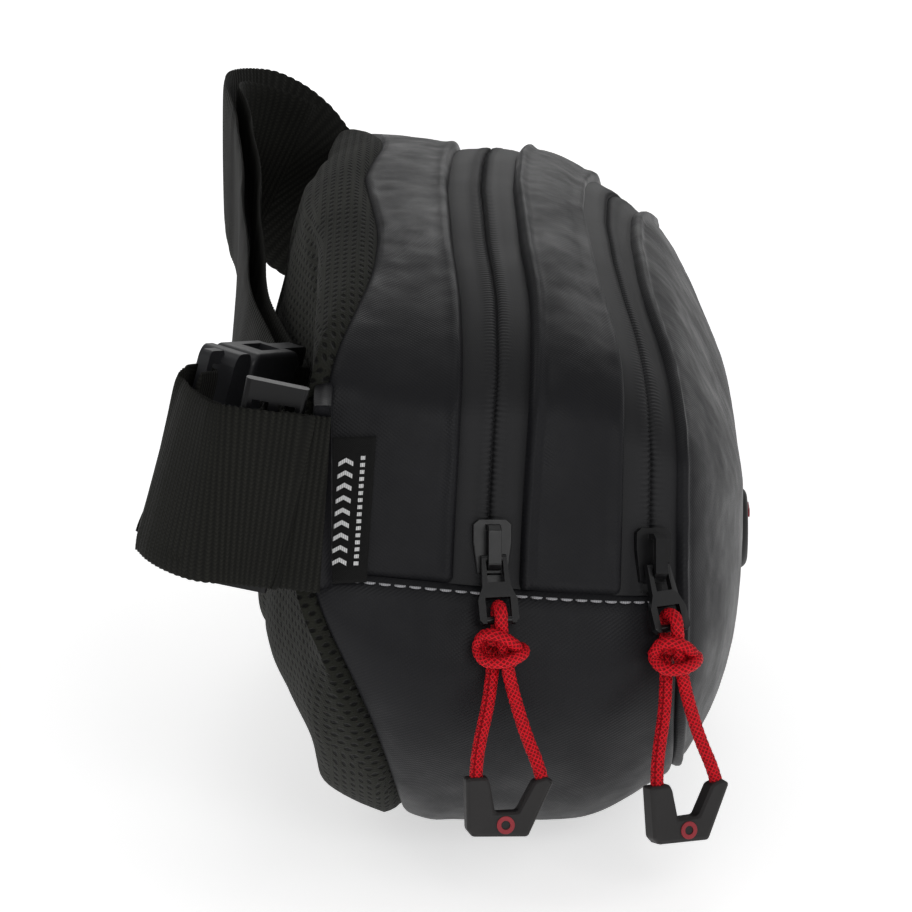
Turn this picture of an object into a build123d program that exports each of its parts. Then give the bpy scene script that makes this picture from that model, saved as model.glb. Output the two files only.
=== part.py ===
from build123d import *
import os
from math import cos, radians, sin, tan

# Waist pack. Millimetres, +Z up. The origin is the middle of the flat underside.
# The front of the bag faces -Y, the back pad faces +Y and the belt leaves at both ends of X.

# ---------------------------------------------------------------- driving dimensions
SIDE_LEAN = 16.0  # the two ends of the bag lean inward by this many degrees
WIDTH_LEVEL = 62.0  # height at which the half widths below are measured
FABRIC = 2.0  # coated fabric with its lining
LINING_INSET = FABRIC + 0.05  # the inner sheets stop just short of the fabric
BACK_LINING = 1.5
STRAIGHT_FROM, STRAIGHT_TO = 0.43, 0.80  # the straight part of an end, as shares of the height
FLAT_SHARE = 0.42  # flat underside over half width
CORNER_SHARE, CREST_SHARE = 0.80, 0.38  # how square the lower corners and the shoulders are
SHOULDER_RISE, CORNER_DROP = 0.75, 0.25  # how far the straight part's line carries on into them

# Bag outline by depth: Y, half width, crest height, underside height.
FORM = [
    (41.0, 134.0, 139.5, 21.0),
    (32.0, 133.0, 137.5, 11.0),
    (20.0, 131.9, 136.5, 1.5),
    (17.0, 131.6, 136.0, 0.0),
    (11.0, 131.0, 135.5, 0.0),
    (-3.0, 128.8, 136.5, 0.0),
    (-18.0, 125.4, 130.0, 0.0),
    (-24.5, 124.0, 127.5, 3.0),
    (-38.5, 117.0, 117.0, 12.0),
    (-44.5, 105.0, 107.0, 20.0),
    (-50.0, 86.0, 98.0, 31.0),
    (-55.0, 46.0, 83.0, 41.0),
]
BACK_Y = 32.0  # back panel, where the pad is sewn on
FRONT_Y = -55.0

SEAM_HEIGHT = 73.3  # the seam round the bag, at the middle of its depth
SEAM_SLOPE = 0.12

MAIN_ZIP = (11.0, -3.0)  # depth range of the main zip's tapes
FRONT_ZIP = (-24.5, -38.5)
ZIP_SLIT = 1.2
DIVIDER_DEPTHS = (-13.0, -14.0)  # the sheet between the two compartments
BEYOND = 400.0  # a cut this long passes right through the bag
TAPE_RECESS, TAPE_THICK = 1.2, 0.8
COIL_WIDTH, COIL_THICK = 1.7, 1.4

SLIDER_LONG, SLIDER_WIDE, PLATE = 12.0, 8.7, 1.6
SLIDER_GAP = 0.3
TAB_LONG, TAB_THICK = 14.0, 1.8  # tab length is from its crossbar to its lower bar
TAB_REST = 15.0  # the tab stands off the bag by this many degrees
PULL_LEAN = 9.0  # the stiff cord holds the pull's lower end off the bag by this many degrees
CORD = 3.0
LOOP_RADIUS = 3.0

WEB_WIDE, WEB_THICK = 40.0, 1.6
WEB_LEAN = 12.0  # the belt's lower edge lies further back
BUCKLE_TURN = 20.0  # the buckle points towards the bag by this many degrees
BUCKLE_DROP = 12.0  # and down by this many

SEAM = Plane(origin=(0, 0, SEAM_HEIGHT), z_dir=(0, -SEAM_SLOPE, 1))


# ---------------------------------------------------------------- shared shapes
def form_at(y):
    """Half width, crest and underside of the bag at one depth."""
    for (y0, *high), (y1, *low) in zip(FORM, FORM[1:]):
        if y1 <= y <= y0:
            share = (y0 - y) / (y0 - y1)
            return [a + share * (b - a) for a, b in zip(high, low)]
    raise ValueError(f"no outline at Y {y}")


def section(y, width, crest, floor, inset=0.0):
    """A closed outline of the bag across its length, as a face at depth Y."""
    slope = tan(radians(SIDE_LEAN))
    crest, floor, width = crest - inset, floor + inset, width - inset / cos(radians(SIDE_LEAN))
    low = floor + STRAIGHT_FROM * (crest - floor)
    high = floor + STRAIGHT_TO * (crest - floor)
    x_low = width - (low - WIDTH_LEVEL) * slope
    x_high = x_low - (high - low) * slope
    flat, corner, shoulder = FLAT_SHARE * x_low, CORNER_SHARE * x_low, CREST_SHARE * x_high
    up, down = SHOULDER_RISE * (crest - high), CORNER_DROP * (low - floor)
    with BuildSketch(Plane.XZ.offset(-y)) as face:
        with BuildLine():
            Line((-flat, floor), (flat, floor))
            Bezier((flat, floor), (corner, floor), (x_low + down * slope, low - down), (x_low, low))
            Line((x_low, low), (x_high, high))
            Bezier((x_high, high), (x_high - up * slope, high + up), (shoulder, crest), (0, crest))
            Bezier((0, crest), (-shoulder, crest), (up * slope - x_high, high + up), (-x_high, high))
            Line((-x_high, high), (-x_low, low))
            Bezier((-x_low, low), (-x_low - down * slope, low - down), (-corner, floor), (-flat, floor))
        make_face()
    return face.sketch.face()


def layers(depths, inset=0.0):
    """Outlines of the bag at several depths."""
    return [section(y, *form_at(y), inset) for y in depths]


def skin(depths, wall=FABRIC, recess=0.0):
    """Adds a tube of fabric between the first and the last depth."""
    loft(layers(depths, recess), ruled=True)
    loft(layers(depths, recess + wall), ruled=True, mode=Mode.SUBTRACT)


def sheet_between(depth_back, depth_front, inset):
    """Adds a flat sheet across the inside of the bag."""
    loft(layers([depth_back, depth_front], inset), ruled=True)


def finish(piece, name):
    piece.part.label = name
    export_step(piece.part, f"parts/{name}.step")
    print(f"{name:24s} {len(piece.part.solids()):2d} solids {piece.part.volume:12.1f} mm3")


os.makedirs("parts", exist_ok=True)

# ---------------------------------------------------------------- bag
with BuildPart() as back_gusset:
    skin([BACK_Y, 20, 17, MAIN_ZIP[0]])
    split(bisect_by=SEAM, keep=Keep.TOP)
finish(back_gusset, "back_gusset")

with BuildPart() as mid_gusset:
    skin([MAIN_ZIP[1], -18, FRONT_ZIP[0]])
    split(bisect_by=SEAM, keep=Keep.TOP)
finish(mid_gusset, "mid_gusset")

with BuildPart() as bottom_panel:
    skin([BACK_Y, 20, 17, MAIN_ZIP[0], MAIN_ZIP[1], -18, FRONT_ZIP[0], FRONT_ZIP[1]])
    split(bisect_by=SEAM, keep=Keep.BOTTOM)
finish(bottom_panel, "bottom_panel")

with BuildPart() as front_panel:
    loft(layers([FRONT_ZIP[1], -44.5, -50.0, FRONT_Y]), ruled=True)
    loft(layers([FRONT_ZIP[1], -44.5, -50.0, FRONT_Y + FABRIC], FABRIC), ruled=True, mode=Mode.SUBTRACT)
finish(front_panel, "front_panel")

with BuildPart() as back_panel:
    sheet_between(BACK_Y, BACK_Y - BACK_LINING, LINING_INSET)
finish(back_panel, "back_panel_lining")

with BuildPart() as divider:
    sheet_between(*DIVIDER_DEPTHS, LINING_INSET)
finish(divider, "divider_lining")


def zip_band(span, width, wall, recess):
    """Adds one zip's two bands, either side of its slit, above the seam."""
    middle = (span[0] + span[1]) / 2
    start, end = middle + width / 2, middle - width / 2
    skin([start, end], wall, recess)
    with Locations((0, middle, SEAM_HEIGHT)):
        Box(BEYOND, ZIP_SLIT, BEYOND, mode=Mode.SUBTRACT)
    split(bisect_by=SEAM, keep=Keep.TOP)


with BuildPart() as main_zip_tapes:
    zip_band(MAIN_ZIP, MAIN_ZIP[0] - MAIN_ZIP[1], TAPE_THICK, TAPE_RECESS)
finish(main_zip_tapes, "main_zip_tapes")

with BuildPart() as main_zip_coils:
    zip_band(MAIN_ZIP, ZIP_SLIT + 2 * COIL_WIDTH, COIL_THICK, TAPE_RECESS + TAPE_THICK)
finish(main_zip_coils, "main_zip_coils")

with BuildPart() as front_zip_tapes:
    zip_band(FRONT_ZIP, FRONT_ZIP[0] - FRONT_ZIP[1], TAPE_THICK, TAPE_RECESS)
finish(front_zip_tapes, "front_zip_tapes")

with BuildPart() as front_zip_coils:
    zip_band(FRONT_ZIP, ZIP_SLIT + 2 * COIL_WIDTH, COIL_THICK, TAPE_RECESS + TAPE_THICK)
finish(front_zip_coils, "front_zip_coils")

# ---------------------------------------------------------------- back pad
# Pad outline by depth: Y, half width, crest height, underside height.
PAD_BOARD = [(BACK_Y, 133.0, 138.0, 11.0), (37.0, 133.0, 141.0, 16.0), (41.0, 128.0, 142.0, 20.0)]
PAD_LUMBAR = [
    (41.0, 88.0, 142.0, 20.0),
    (46.0, 66.0, 143.0, 26.0),
    (51.0, 56.0, 124.0, 33.0),
    (56.0, 48.0, 96.0, 43.0),
    (59.4, 36.0, 79.0, 54.0),
]
PAD_HIP = [
    (41.0, 126.0, 104.0, 20.0),
    (47.5, 106.0, 84.0, 28.0),
    (54.0, 80.0, 68.0, 39.0),
    (57.0, 60.0, 64.0, 46.0),
]
with BuildPart() as pad_board:
    loft([section(*s) for s in PAD_BOARD], ruled=True)
finish(pad_board, "pad_board")

with BuildPart() as lumbar_pad:
    loft([section(*s) for s in PAD_LUMBAR], ruled=True)
    loft([section(*s) for s in PAD_HIP], ruled=True)
finish(lumbar_pad, "lumbar_pad")

# Wing tabs: the ends of the belt are sewn onto them.
WING_X, WING_LOW, WING_HIGH = 137.4, 76.5, 118.0
WING_BACK, WING_THICK = 42.6, 5.4
WING_ROOT = 115.0
WING_TRIM = (12.0, 10.0, 60.0)  # what is cut off the tab's root, where the lumbar pad is
with BuildPart() as wing_near:
    with Locations(((-WING_ROOT - WING_X) / 2, WING_BACK - WING_THICK / 2, (WING_LOW + WING_HIGH) / 2)):
        Box(WING_X - WING_ROOT, WING_THICK, WING_HIGH - WING_LOW)
    loft([section(*s) for s in PAD_BOARD], ruled=True, mode=Mode.SUBTRACT)
    with Locations((-WING_ROOT, PAD_BOARD[-1][0] + WING_TRIM[1] / 2, (WING_LOW + WING_HIGH) / 2)):
        Box(*WING_TRIM, mode=Mode.SUBTRACT)
finish(wing_near, "wing_tab_near")

with BuildPart() as wing_far:
    mirror(wing_near.part, about=Plane.YZ)
finish(wing_far, "wing_tab_far")

# ---------------------------------------------------------------- belt
WEB_UP = Vector(0, -sin(radians(WEB_LEAN)), cos(radians(WEB_LEAN)))
UPRIGHT = Vector(0, 0, 1)
BAR_MIDDLE = Vector(-114.5, 73.0, 101.0)  # middle of the buckle's first bar
BUCKLE_LEVEL = cos(radians(BUCKLE_DROP))
BUCKLE_ALONG = Vector(
    cos(radians(BUCKLE_TURN)) * BUCKLE_LEVEL,
    -sin(radians(BUCKLE_TURN)) * BUCKLE_LEVEL,
    -sin(radians(BUCKLE_DROP)),
)
BUCKLE_UP = (WEB_UP - BUCKLE_ALONG * WEB_UP.dot(BUCKLE_ALONG)).normalized()
BUCKLE_OUT = BUCKLE_UP.cross(BUCKLE_ALONG)
WEB_GRIP = 2.9  # belt centreline to the middle of the first bar
LADDER_X, LADDER_GRIP = 50.3, 3.5  # the belt's turn round the ladder bars


def on_buckle(along, out):
    """A point of the belt, measured from the buckle's first bar."""
    return BAR_MIDDLE + BUCKLE_ALONG * along + BUCKLE_OUT * out


def turn_on_buckle(along, radius, first, last, steps):
    """Points of the belt where it turns round a bar of the buckle."""
    angles = [radians(first + (last - first) * i / steps) for i in range(steps + 1)]
    return [on_buckle(along + radius * cos(a), radius * sin(a)) for a in angles]


def webbing(runs):
    """Adds a flat belt along its centreline; a run is its first and last width direction and its points."""
    points = []
    for first_up, last_up, run in runs:
        for i, place in enumerate(run):
            share = i / (len(run) - 1)
            points.append((Vector(place), (first_up * (1 - share) + last_up * share).normalized()))
    faces = []
    for i, (point, up) in enumerate(points):
        before, after = points[max(i - 1, 0)][0], points[min(i + 1, len(points) - 1)][0]
        face_out = (after - before).normalized().cross(up).normalized()
        with BuildSketch(Plane(origin=point, x_dir=up, z_dir=up.cross(face_out))) as face:
            Rectangle(WEB_WIDE, WEB_THICK)
        faces.append(face.sketch.face())
    for start, end in zip(faces, faces[1:]):
        loft([start, end], ruled=True)


NEAR_SEWN = [(-138.3, 38.5, 95.4), (-138.3, 44.0, 96.1), (-138.3, 51.8, 97.2)]
NEAR_ADJUSTER = [
    (-137.2, 53.3, 97.4),
    (-134.8, 53.5, 97.5),
    (-132.3, 53.9, 97.6),
    (-131.7, 55.75, 97.7),
    (-132.3, 57.6, 97.9),
    (-134.8, 58.0, 98.0),
    (-137.2, 58.2, 98.0),
]
NEAR_LOOP = [
    (-138.3, 59.8, 98.1),
    (-138.2, 64.8, 98.5),
    (-136.2, 68.4, 98.9),
    (-132.8, 71.9, 99.5),
    (-128.2, 74.8, 100.1),
    (-123.4, 76.6, 100.6),
    (-118.8, 77.2, 100.9),
]
with BuildPart() as near_webbing:
    webbing(
        [
            (WEB_UP, WEB_UP, NEAR_SEWN + NEAR_ADJUSTER),
            (WEB_UP, BUCKLE_UP, NEAR_LOOP),
            (
                BUCKLE_UP,
                BUCKLE_UP,
                turn_on_buckle(1.5, WEB_GRIP, 90, -90, 6)
                + [on_buckle(-3.0, -WEB_GRIP), on_buckle(-8.0, -WEB_GRIP - 0.3)],
            ),
        ]
    )
finish(near_webbing, "near_webbing")

FAR_SEWN = [(138.3, 38.5, 97.3), (138.3, 46.0, 98.6)]
FAR_LOOP = [
    (137.6, 52.0, 104.0),
    (135.0, 56.8, 112.5),
    (130.6, 61.5, 117.4),
    (124.5, 65.8, 119.4),
    (116.5, 69.2, 120.6),
    (107.5, 70.6, 121.0),
    (98.0, 70.0, 120.5),
    (89.0, 68.4, 118.3),
    (79.0, 66.6, 116.0),
]
FAR_BACK = [
    (60.0, 65.2, 112.6),
    (30.0, 64.6, 107.0),
    (0.0, 64.2, 101.2),
    (-26.0, 63.2, 95.8),
    (-44.0, 60.8, 92.2),
]
TAIL_BACK = [
    (-48.0, 55.9, 91.2),
    (-28.0, 59.4, 95.6),
    (0.0, 60.9, 101.2),
    (30.0, 61.3, 107.0),
    (60.0, 61.9, 112.6),
    (79.0, 63.2, 116.0),
]
TAIL_LOOP = [
    (91.0, 65.2, 118.6),
    (101.0, 67.0, 119.9),
    (109.0, 66.0, 119.0),
    (114.6, 62.0, 116.4),
    (117.2, 56.0, 113.0),
]
with BuildPart() as far_webbing:
    webbing(
        [
            (WEB_UP, UPRIGHT, FAR_SEWN + FAR_LOOP[:3]),
            (UPRIGHT, UPRIGHT, FAR_LOOP[3:]),
            (UPRIGHT, BUCKLE_UP, FAR_BACK),
            (
                BUCKLE_UP,
                BUCKLE_UP,
                [on_buckle(57.0, LADDER_GRIP)]
                + turn_on_buckle(LADDER_X, LADDER_GRIP, 90, 270, 6)
                + [on_buckle(57.0, -LADDER_GRIP)],
            ),
            (BUCKLE_UP, UPRIGHT, TAIL_BACK),
            (UPRIGHT, UPRIGHT, TAIL_LOOP),
        ]
    )
finish(far_webbing, "far_webbing")

# The adjuster: a frame with two slots, and the belt woven through it.
ADJUSTER_LOW, ADJUSTER_SLOT_LOW = -21.8, -20.6  # its lower end and its slots' lower ends
ADJUSTER_SLOT_TOP, ADJUSTER_TOP = 20.8, 25.2
ADJUSTER_THICK, ADJUSTER_BAR, ADJUSTER_SLOT = 3.0, 2.2, 3.7
ADJUSTER_MIDDLE = Vector(-134.8, 55.75, 97.8)
ADJUSTER_LONG = 3 * ADJUSTER_BAR + 2 * ADJUSTER_SLOT
adjuster_face = Plane(origin=ADJUSTER_MIDDLE, x_dir=(1, 0, 0), z_dir=WEB_UP)
with BuildPart() as web_adjuster:
    with BuildSketch(adjuster_face.offset(ADJUSTER_LOW)):
        RectangleRounded(ADJUSTER_THICK, ADJUSTER_LONG, 1.2)
    extrude(amount=ADJUSTER_TOP - ADJUSTER_LOW)
    with BuildSketch(adjuster_face.offset(ADJUSTER_SLOT_LOW)):
        with GridLocations(0, ADJUSTER_BAR + ADJUSTER_SLOT, 1, 2):
            Rectangle(2 * ADJUSTER_THICK, ADJUSTER_SLOT)
    extrude(amount=ADJUSTER_SLOT_TOP - ADJUSTER_SLOT_LOW, mode=Mode.SUBTRACT)
finish(web_adjuster, "web_adjuster")

# ---------------------------------------------------------------- buckle
BUCKLE_HALF = 24.0  # half the buckle's width, along the width of the belt
WEB_SLOT_HALF = 21.0
FIRST_BAR, FIRST_SLOT = 3.0, 7.5  # ends of the male half's bar and slot
BAR_HALF_THICK = 1.1
MALE_END = 17.0
MOUTH, BODY_END, LADDER_END = 17.5, 45.0, 57.0
SLOT_1, SLOT_2 = (45.0, 48.5), (51.0, 54.5)
BODY_HALF_THICK, MALE_HALF_THICK, LADDER_HALF_THICK = 5.5, 4.5, 2.0
THROAT_HALF, THROAT_HALF_THICK, THROAT_END = 20.6, 2.6, 43.0
WINDOW = (27.0, 39.0)
PRONG_ROOT, PRONG_MIDDLE, PRONG_HALF = 19.8, 14.5, 2.5
PRONG_TIP, PRONG_HALF_THICK = 41.0, 2.1
TONGUE_HALF, TONGUE_TIP = 3.0, 40.0
buckle_face = Plane(origin=BAR_MIDDLE, x_dir=BUCKLE_ALONG, z_dir=-BUCKLE_OUT)  # local y is up

with BuildPart() as buckle_male:
    with BuildSketch(buckle_face):
        with Locations((FIRST_SLOT / 2 + 0.5, 0)):
            RectangleRounded(FIRST_SLOT + 1, 2 * BUCKLE_HALF, 1.4)
        with Locations(((FIRST_BAR + FIRST_SLOT) / 2, 0)):
            Rectangle(FIRST_SLOT - FIRST_BAR, 2 * WEB_SLOT_HALF, mode=Mode.SUBTRACT)
    extrude(amount=BAR_HALF_THICK, both=True)
    with BuildSketch(buckle_face):
        with Locations(((FIRST_SLOT + MALE_END) / 2, 0)):
            RectangleRounded(MALE_END - FIRST_SLOT, 2 * BUCKLE_HALF, 3.0)
    extrude(amount=MALE_HALF_THICK, both=True)
    with BuildSketch(buckle_face):
        with Locations(((MALE_END + TONGUE_TIP) / 2 - 1, 0)):
            RectangleRounded(TONGUE_TIP - MALE_END + 2, 2 * TONGUE_HALF, 1.5)
    extrude(amount=1.5, both=True)
finish(buckle_male, "buckle_male")

with BuildPart() as prong_upper:
    with BuildSketch(buckle_face):
        with Locations((PRONG_ROOT, PRONG_MIDDLE)):
            Circle(PRONG_HALF)
        with BuildLine():
            Polyline(
                (PRONG_ROOT, PRONG_MIDDLE - PRONG_HALF),
                (36.0, PRONG_MIDDLE - PRONG_HALF),
                (PRONG_TIP, 16.5),
                (PRONG_TIP, 18.5),
                (38.0, 20.2),
                (30.0, 20.2),
                (28.0, PRONG_MIDDLE + PRONG_HALF),
                (PRONG_ROOT, PRONG_MIDDLE + PRONG_HALF),
                close=True,
            )
        make_face()
    extrude(amount=PRONG_HALF_THICK, both=True)
finish(prong_upper, "buckle_prong_upper")

with BuildPart() as prong_lower:
    mirror(prong_upper.part, about=Plane(origin=BAR_MIDDLE, z_dir=BUCKLE_UP))
finish(prong_lower, "buckle_prong_lower")

with BuildPart() as buckle_female:
    with BuildSketch(buckle_face):
        with Locations(((MOUTH + BODY_END) / 2, 0)):
            RectangleRounded(BODY_END - MOUTH, 2 * BUCKLE_HALF, 3.0)
    extrude(amount=BODY_HALF_THICK, both=True)
    fillet(buckle_female.edges().filter_by(Axis(BAR_MIDDLE, BUCKLE_OUT), reverse=True), 1.2)
    with BuildSketch(buckle_face):
        with Locations(((BODY_END - 4 + LADDER_END) / 2, 0)):
            RectangleRounded(LADDER_END - BODY_END + 4, 2 * BUCKLE_HALF, 1.5)
    extrude(amount=LADDER_HALF_THICK, both=True)
    with BuildSketch(buckle_face):
        for slot in (SLOT_1, SLOT_2):
            with Locations((sum(slot) / 2, 0)):
                Rectangle(slot[1] - slot[0], 2 * WEB_SLOT_HALF)
    extrude(amount=LADDER_HALF_THICK + 1, both=True, mode=Mode.SUBTRACT)
    with BuildSketch(buckle_face):
        with Locations(((MOUTH - 1 + THROAT_END) / 2, 0)):
            Rectangle(THROAT_END - MOUTH + 1, 2 * THROAT_HALF)
    extrude(amount=THROAT_HALF_THICK, both=True, mode=Mode.SUBTRACT)
    with BuildSketch(buckle_face):
        with Locations((sum(WINDOW) / 2, 0)):
            Rectangle(WINDOW[1] - WINDOW[0], 2 * BUCKLE_HALF + 2)
    extrude(amount=THROAT_HALF_THICK, both=True, mode=Mode.SUBTRACT)
finish(buckle_female, "buckle_female")

# ---------------------------------------------------------------- zip pulls
TRACK_UP = Vector(sin(radians(SIDE_LEAN)), 0, cos(radians(SIDE_LEAN)))
BRIDGE_HALF = 1.5
CROSSBAR_DOWN, CROSSBAR_OUT, CROSSBAR_HALF = 2.7, 3.2, 2.8
LOWER_BAR_HALF = 3.4
EYE_MIDDLE, EYE_SIZE = -2.4, (3.8, 6.4)  # the tab's window round the slider's bridge
CORD_SLOT_MIDDLE, CORD_SLOT_SIZE = -12.25, (5.6, 6.5)
NECK_THICK, NECK_LONG, NECK_UP = 0.6, 3.2, 3.4
INNER_PLATE = TAPE_THICK + COIL_THICK + SLIDER_GAP
STOP_DOWN, STOP_SIZE, STOP_THICK = 7.3, (5.0, 2.0), 0.9
KNOT_SIZE = (10.5, 8.2, 6.2)
KNOT_DROP = 6.3
KNOT_ROUND = 3.2
END_THICK, END_CHAMFER = 4.5, 0.6
END_SHIFT, END_BOTTOM = 1.3, -48.2
MARK_RADIUS, MARK_AT, MARK_THICK = 2.0, (-1.2, 2.9), 0.3

# Each zip's name and depths, its slider's height and how many degrees its tab leans towards
# the front.
ZIP_PULLS = [("main", MAIN_ZIP, 82.0, 3.0), ("front", FRONT_ZIP, 77.7, 7.0)]
# The pull's end piece, across and up from the middle of its underside.
END_OUTLINE = [
    (-9.8, 13.6),
    (-9.8, 2.0),
    (-8.6, 0.5),
    (3.8, 0.0),
    (9.8, 12.1),
    (8.2, 13.2),
    (5.4, 12.3),
    (1.6, 5.7),
    (-3.4, 5.7),
    (-4.3, 12.1),
    (-4.9, 13.6),
]
# The cord's route: across, off the bag and up from the tab's lower bar.
CORD_ROUTE = [
    (-6.0, 0.0, -37.2),
    (-6.0, 0.0, -33.0),
    (-4.9, 0.0, -26.5),
    (-2.9, -0.3, -19.0),
    (-1.8, -0.8, -12.5),
    (-1.2, -1.4, -8.5),
    (-0.3, -2.6, -4.5),
    (0.0, -3.0, -1.5),
    (0.0, -3.0, 3.0),
    (0.0, 3.0, 3.0),
    (0.0, 3.0, -1.5),
    (0.3, 2.6, -4.5),
    (1.2, 1.4, -8.5),
    (1.8, 0.8, -12.5),
    (3.4, 0.3, -19.0),
    (5.6, 0.0, -26.5),
    (8.2, 0.0, -33.0),
    (9.0, 0.0, -37.2),
]
LOOP_CORNERS = (8, 9)


def track_plane(span, height):
    """The outside of a zip's tape at the near end: local x is forward, y up the zip, z off the bag."""
    (back_width, *_), (front_width, *_) = form_at(span[0]), form_at(span[1])
    drop = (height - WIDTH_LEVEL) * tan(radians(SIDE_LEAN))
    inset = TAPE_RECESS / cos(radians(SIDE_LEAN))
    forward = Vector(back_width - front_width, span[1] - span[0], 0).normalized()
    origin = Vector(inset + drop - (back_width + front_width) / 2, (span[0] + span[1]) / 2, height)
    off_tape = forward.cross(TRACK_UP).normalized()
    return Plane(origin=origin, x_dir=TRACK_UP.cross(off_tape), z_dir=off_tape)


def cord_radii(points, loop_corners, loop_radius):
    """Bend radii as large as the two runs at each corner allow, and the loop's own at its corners."""
    radii = []
    for i in range(1, len(points) - 1):
        before, after = points[i] - points[i - 1], points[i + 1] - points[i]
        half_turn = radians(before.get_angle(after) / 2)
        widest = 0.45 * min(before.length, after.length) / tan(half_turn)
        radii.append(loop_radius if i in loop_corners else min(widest, 400.0))
    return radii


for zip_name, span, rest_height, tab_skew in ZIP_PULLS:
    track = track_plane(span, rest_height)
    side_view = Plane(origin=track.origin, x_dir=track.y_dir, z_dir=track.x_dir)  # local y is off the bag

    with BuildPart() as slider:
        with BuildSketch(track.offset(SLIDER_GAP)) as plate:
            with BuildLine():
                Polyline(
                    (-SLIDER_WIDE / 2, 5.0),
                    (-3.2, SLIDER_LONG / 2),
                    (3.2, SLIDER_LONG / 2),
                    (SLIDER_WIDE / 2, 5.0),
                    (SLIDER_WIDE / 2, 1.0),
                    (3.4, -SLIDER_LONG / 2),
                    (-3.4, -SLIDER_LONG / 2),
                    (-SLIDER_WIDE / 2, 1.0),
                    close=True,
                )
            make_face()
        extrude(amount=PLATE)
        with BuildSketch(track.offset(-INNER_PLATE)):
            add(plate.sketch_local)
        extrude(amount=-PLATE)
        with BuildSketch(Plane(origin=track.origin, x_dir=TRACK_UP, z_dir=(0, -1, 0))):
            with Locations((NECK_UP, (SLIDER_GAP - INNER_PLATE) / 2)):
                Rectangle(NECK_LONG, INNER_PLATE + SLIDER_GAP + 0.4)
        extrude(amount=NECK_THICK / 2, both=True)
        with BuildSketch(side_view):
            with BuildLine():
                Polyline(
                    (-5.2, 1.8), (-5.2, 4.4), (-4.0, 5.6), (3.6, 5.6), (4.8, 4.4), (4.8, 1.8), close=True
                )
            make_face()
            with BuildLine():
                Polyline(
                    (-4.0, 1.8), (-4.0, 3.9), (-3.4, 4.5), (3.0, 4.5), (3.6, 3.9), (3.6, 1.8), close=True
                )
            make_face(mode=Mode.SUBTRACT)
        extrude(amount=BRIDGE_HALF, both=True)
    finish(slider, f"{zip_name}_slider")

    crossbar = track.from_local_coords((0, -CROSSBAR_DOWN, CROSSBAR_OUT))
    tab_across = track.x_dir * cos(radians(tab_skew)) + track.y_dir * sin(radians(tab_skew))
    tab_along = track.z_dir.cross(tab_across)
    tab_up = tab_along * cos(radians(TAB_REST)) - track.z_dir * sin(radians(TAB_REST))
    tab_face = Plane(origin=crossbar, x_dir=tab_across, z_dir=tab_across.cross(tab_up))
    lower_bar = crossbar - tab_up * TAB_LONG
    with BuildPart() as pull_tab:
        with BuildSketch(tab_face):
            with BuildLine():
                Polyline(
                    (-2.8, 0.0),
                    (2.8, 0.0),
                    (3.2, -6.5),
                    (4.4, -9.5),
                    (4.4, -TAB_LONG),
                    (3.6, -TAB_LONG - 0.9),
                    (-3.6, -TAB_LONG - 0.9),
                    (-4.4, -TAB_LONG),
                    (-4.4, -9.5),
                    (-3.2, -6.5),
                    close=True,
                )
            make_face()
            with Locations((0, EYE_MIDDLE)):
                Rectangle(*EYE_SIZE, mode=Mode.SUBTRACT)
            with Locations((0, CORD_SLOT_MIDDLE)):
                Rectangle(*CORD_SLOT_SIZE, mode=Mode.SUBTRACT)
        extrude(amount=TAB_THICK / 2, both=True)
        for bar_middle, bar_half in ((crossbar, CROSSBAR_HALF), (lower_bar, LOWER_BAR_HALF)):
            with BuildSketch(Plane(origin=bar_middle - tab_across * bar_half, z_dir=tab_across)):
                Circle(TAB_THICK / 2)
            extrude(amount=2 * bar_half)
    finish(pull_tab, f"{zip_name}_pull_tab")

    level_out = track.x_dir.cross(UPRIGHT).normalized()
    off_bag = level_out * cos(radians(PULL_LEAN)) + UPRIGHT * sin(radians(PULL_LEAN))
    hang_face = Plane(origin=lower_bar, x_dir=UPRIGHT.cross(level_out), z_dir=off_bag)  # y is up
    route = [hang_face.from_local_coords((across, up, off)) for across, off, up in CORD_ROUTE]
    radii = cord_radii(route, LOOP_CORNERS, LOOP_RADIUS - 0.1)
    with BuildPart() as pull_cord:
        with BuildLine():
            cord_line = FilletPolyline(*route, radius=radii)
        with BuildSketch(Plane(origin=cord_line @ 0, z_dir=cord_line % 0)):
            Circle(CORD / 2)
        sweep()
    finish(pull_cord, f"{zip_name}_pull_cord")

    with BuildPart() as pull_knot:
        with BuildSketch(hang_face):
            with Locations((0, -KNOT_DROP)):
                RectangleRounded(KNOT_SIZE[0], KNOT_SIZE[1], KNOT_ROUND)
        extrude(amount=KNOT_SIZE[2] / 2, both=True)
        fillet(pull_knot.edges().group_by(Axis(lower_bar, off_bag))[-1], 2.0)
        fillet(pull_knot.edges().group_by(Axis(lower_bar, off_bag))[0], 2.0)
    finish(pull_knot, f"{zip_name}_pull_knot")

    end_origin = hang_face.from_local_coords((END_SHIFT, END_BOTTOM, 0))
    end_face = Plane(origin=end_origin, x_dir=hang_face.x_dir, z_dir=off_bag)
    with BuildPart() as pull_end:
        with BuildSketch(end_face):
            with BuildLine():
                Polyline(*END_OUTLINE, close=True)
            make_face()
        extrude(amount=END_THICK / 2, both=True)
        chamfer(pull_end.faces().sort_by(Axis(lower_bar, off_bag))[-1].edges(), END_CHAMFER)
    finish(pull_end, f"{zip_name}_pull_end")

    with BuildPart() as pull_mark:
        with BuildSketch(end_face.offset(END_THICK / 2)):
            with Locations(MARK_AT):
                Circle(MARK_RADIUS)
                Circle(MARK_RADIUS / 2, mode=Mode.SUBTRACT)
        extrude(amount=MARK_THICK)
    finish(pull_mark, f"{zip_name}_pull_mark")

    with BuildPart() as zip_stops:
        with BuildSketch(track.offset(0.05)):
            with Locations((0, -STOP_DOWN)):
                Rectangle(*STOP_SIZE)
        extrude(amount=STOP_THICK)
        mirror(zip_stops.part, about=Plane.YZ)
    finish(zip_stops, f"{zip_name}_zip_stops")

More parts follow.
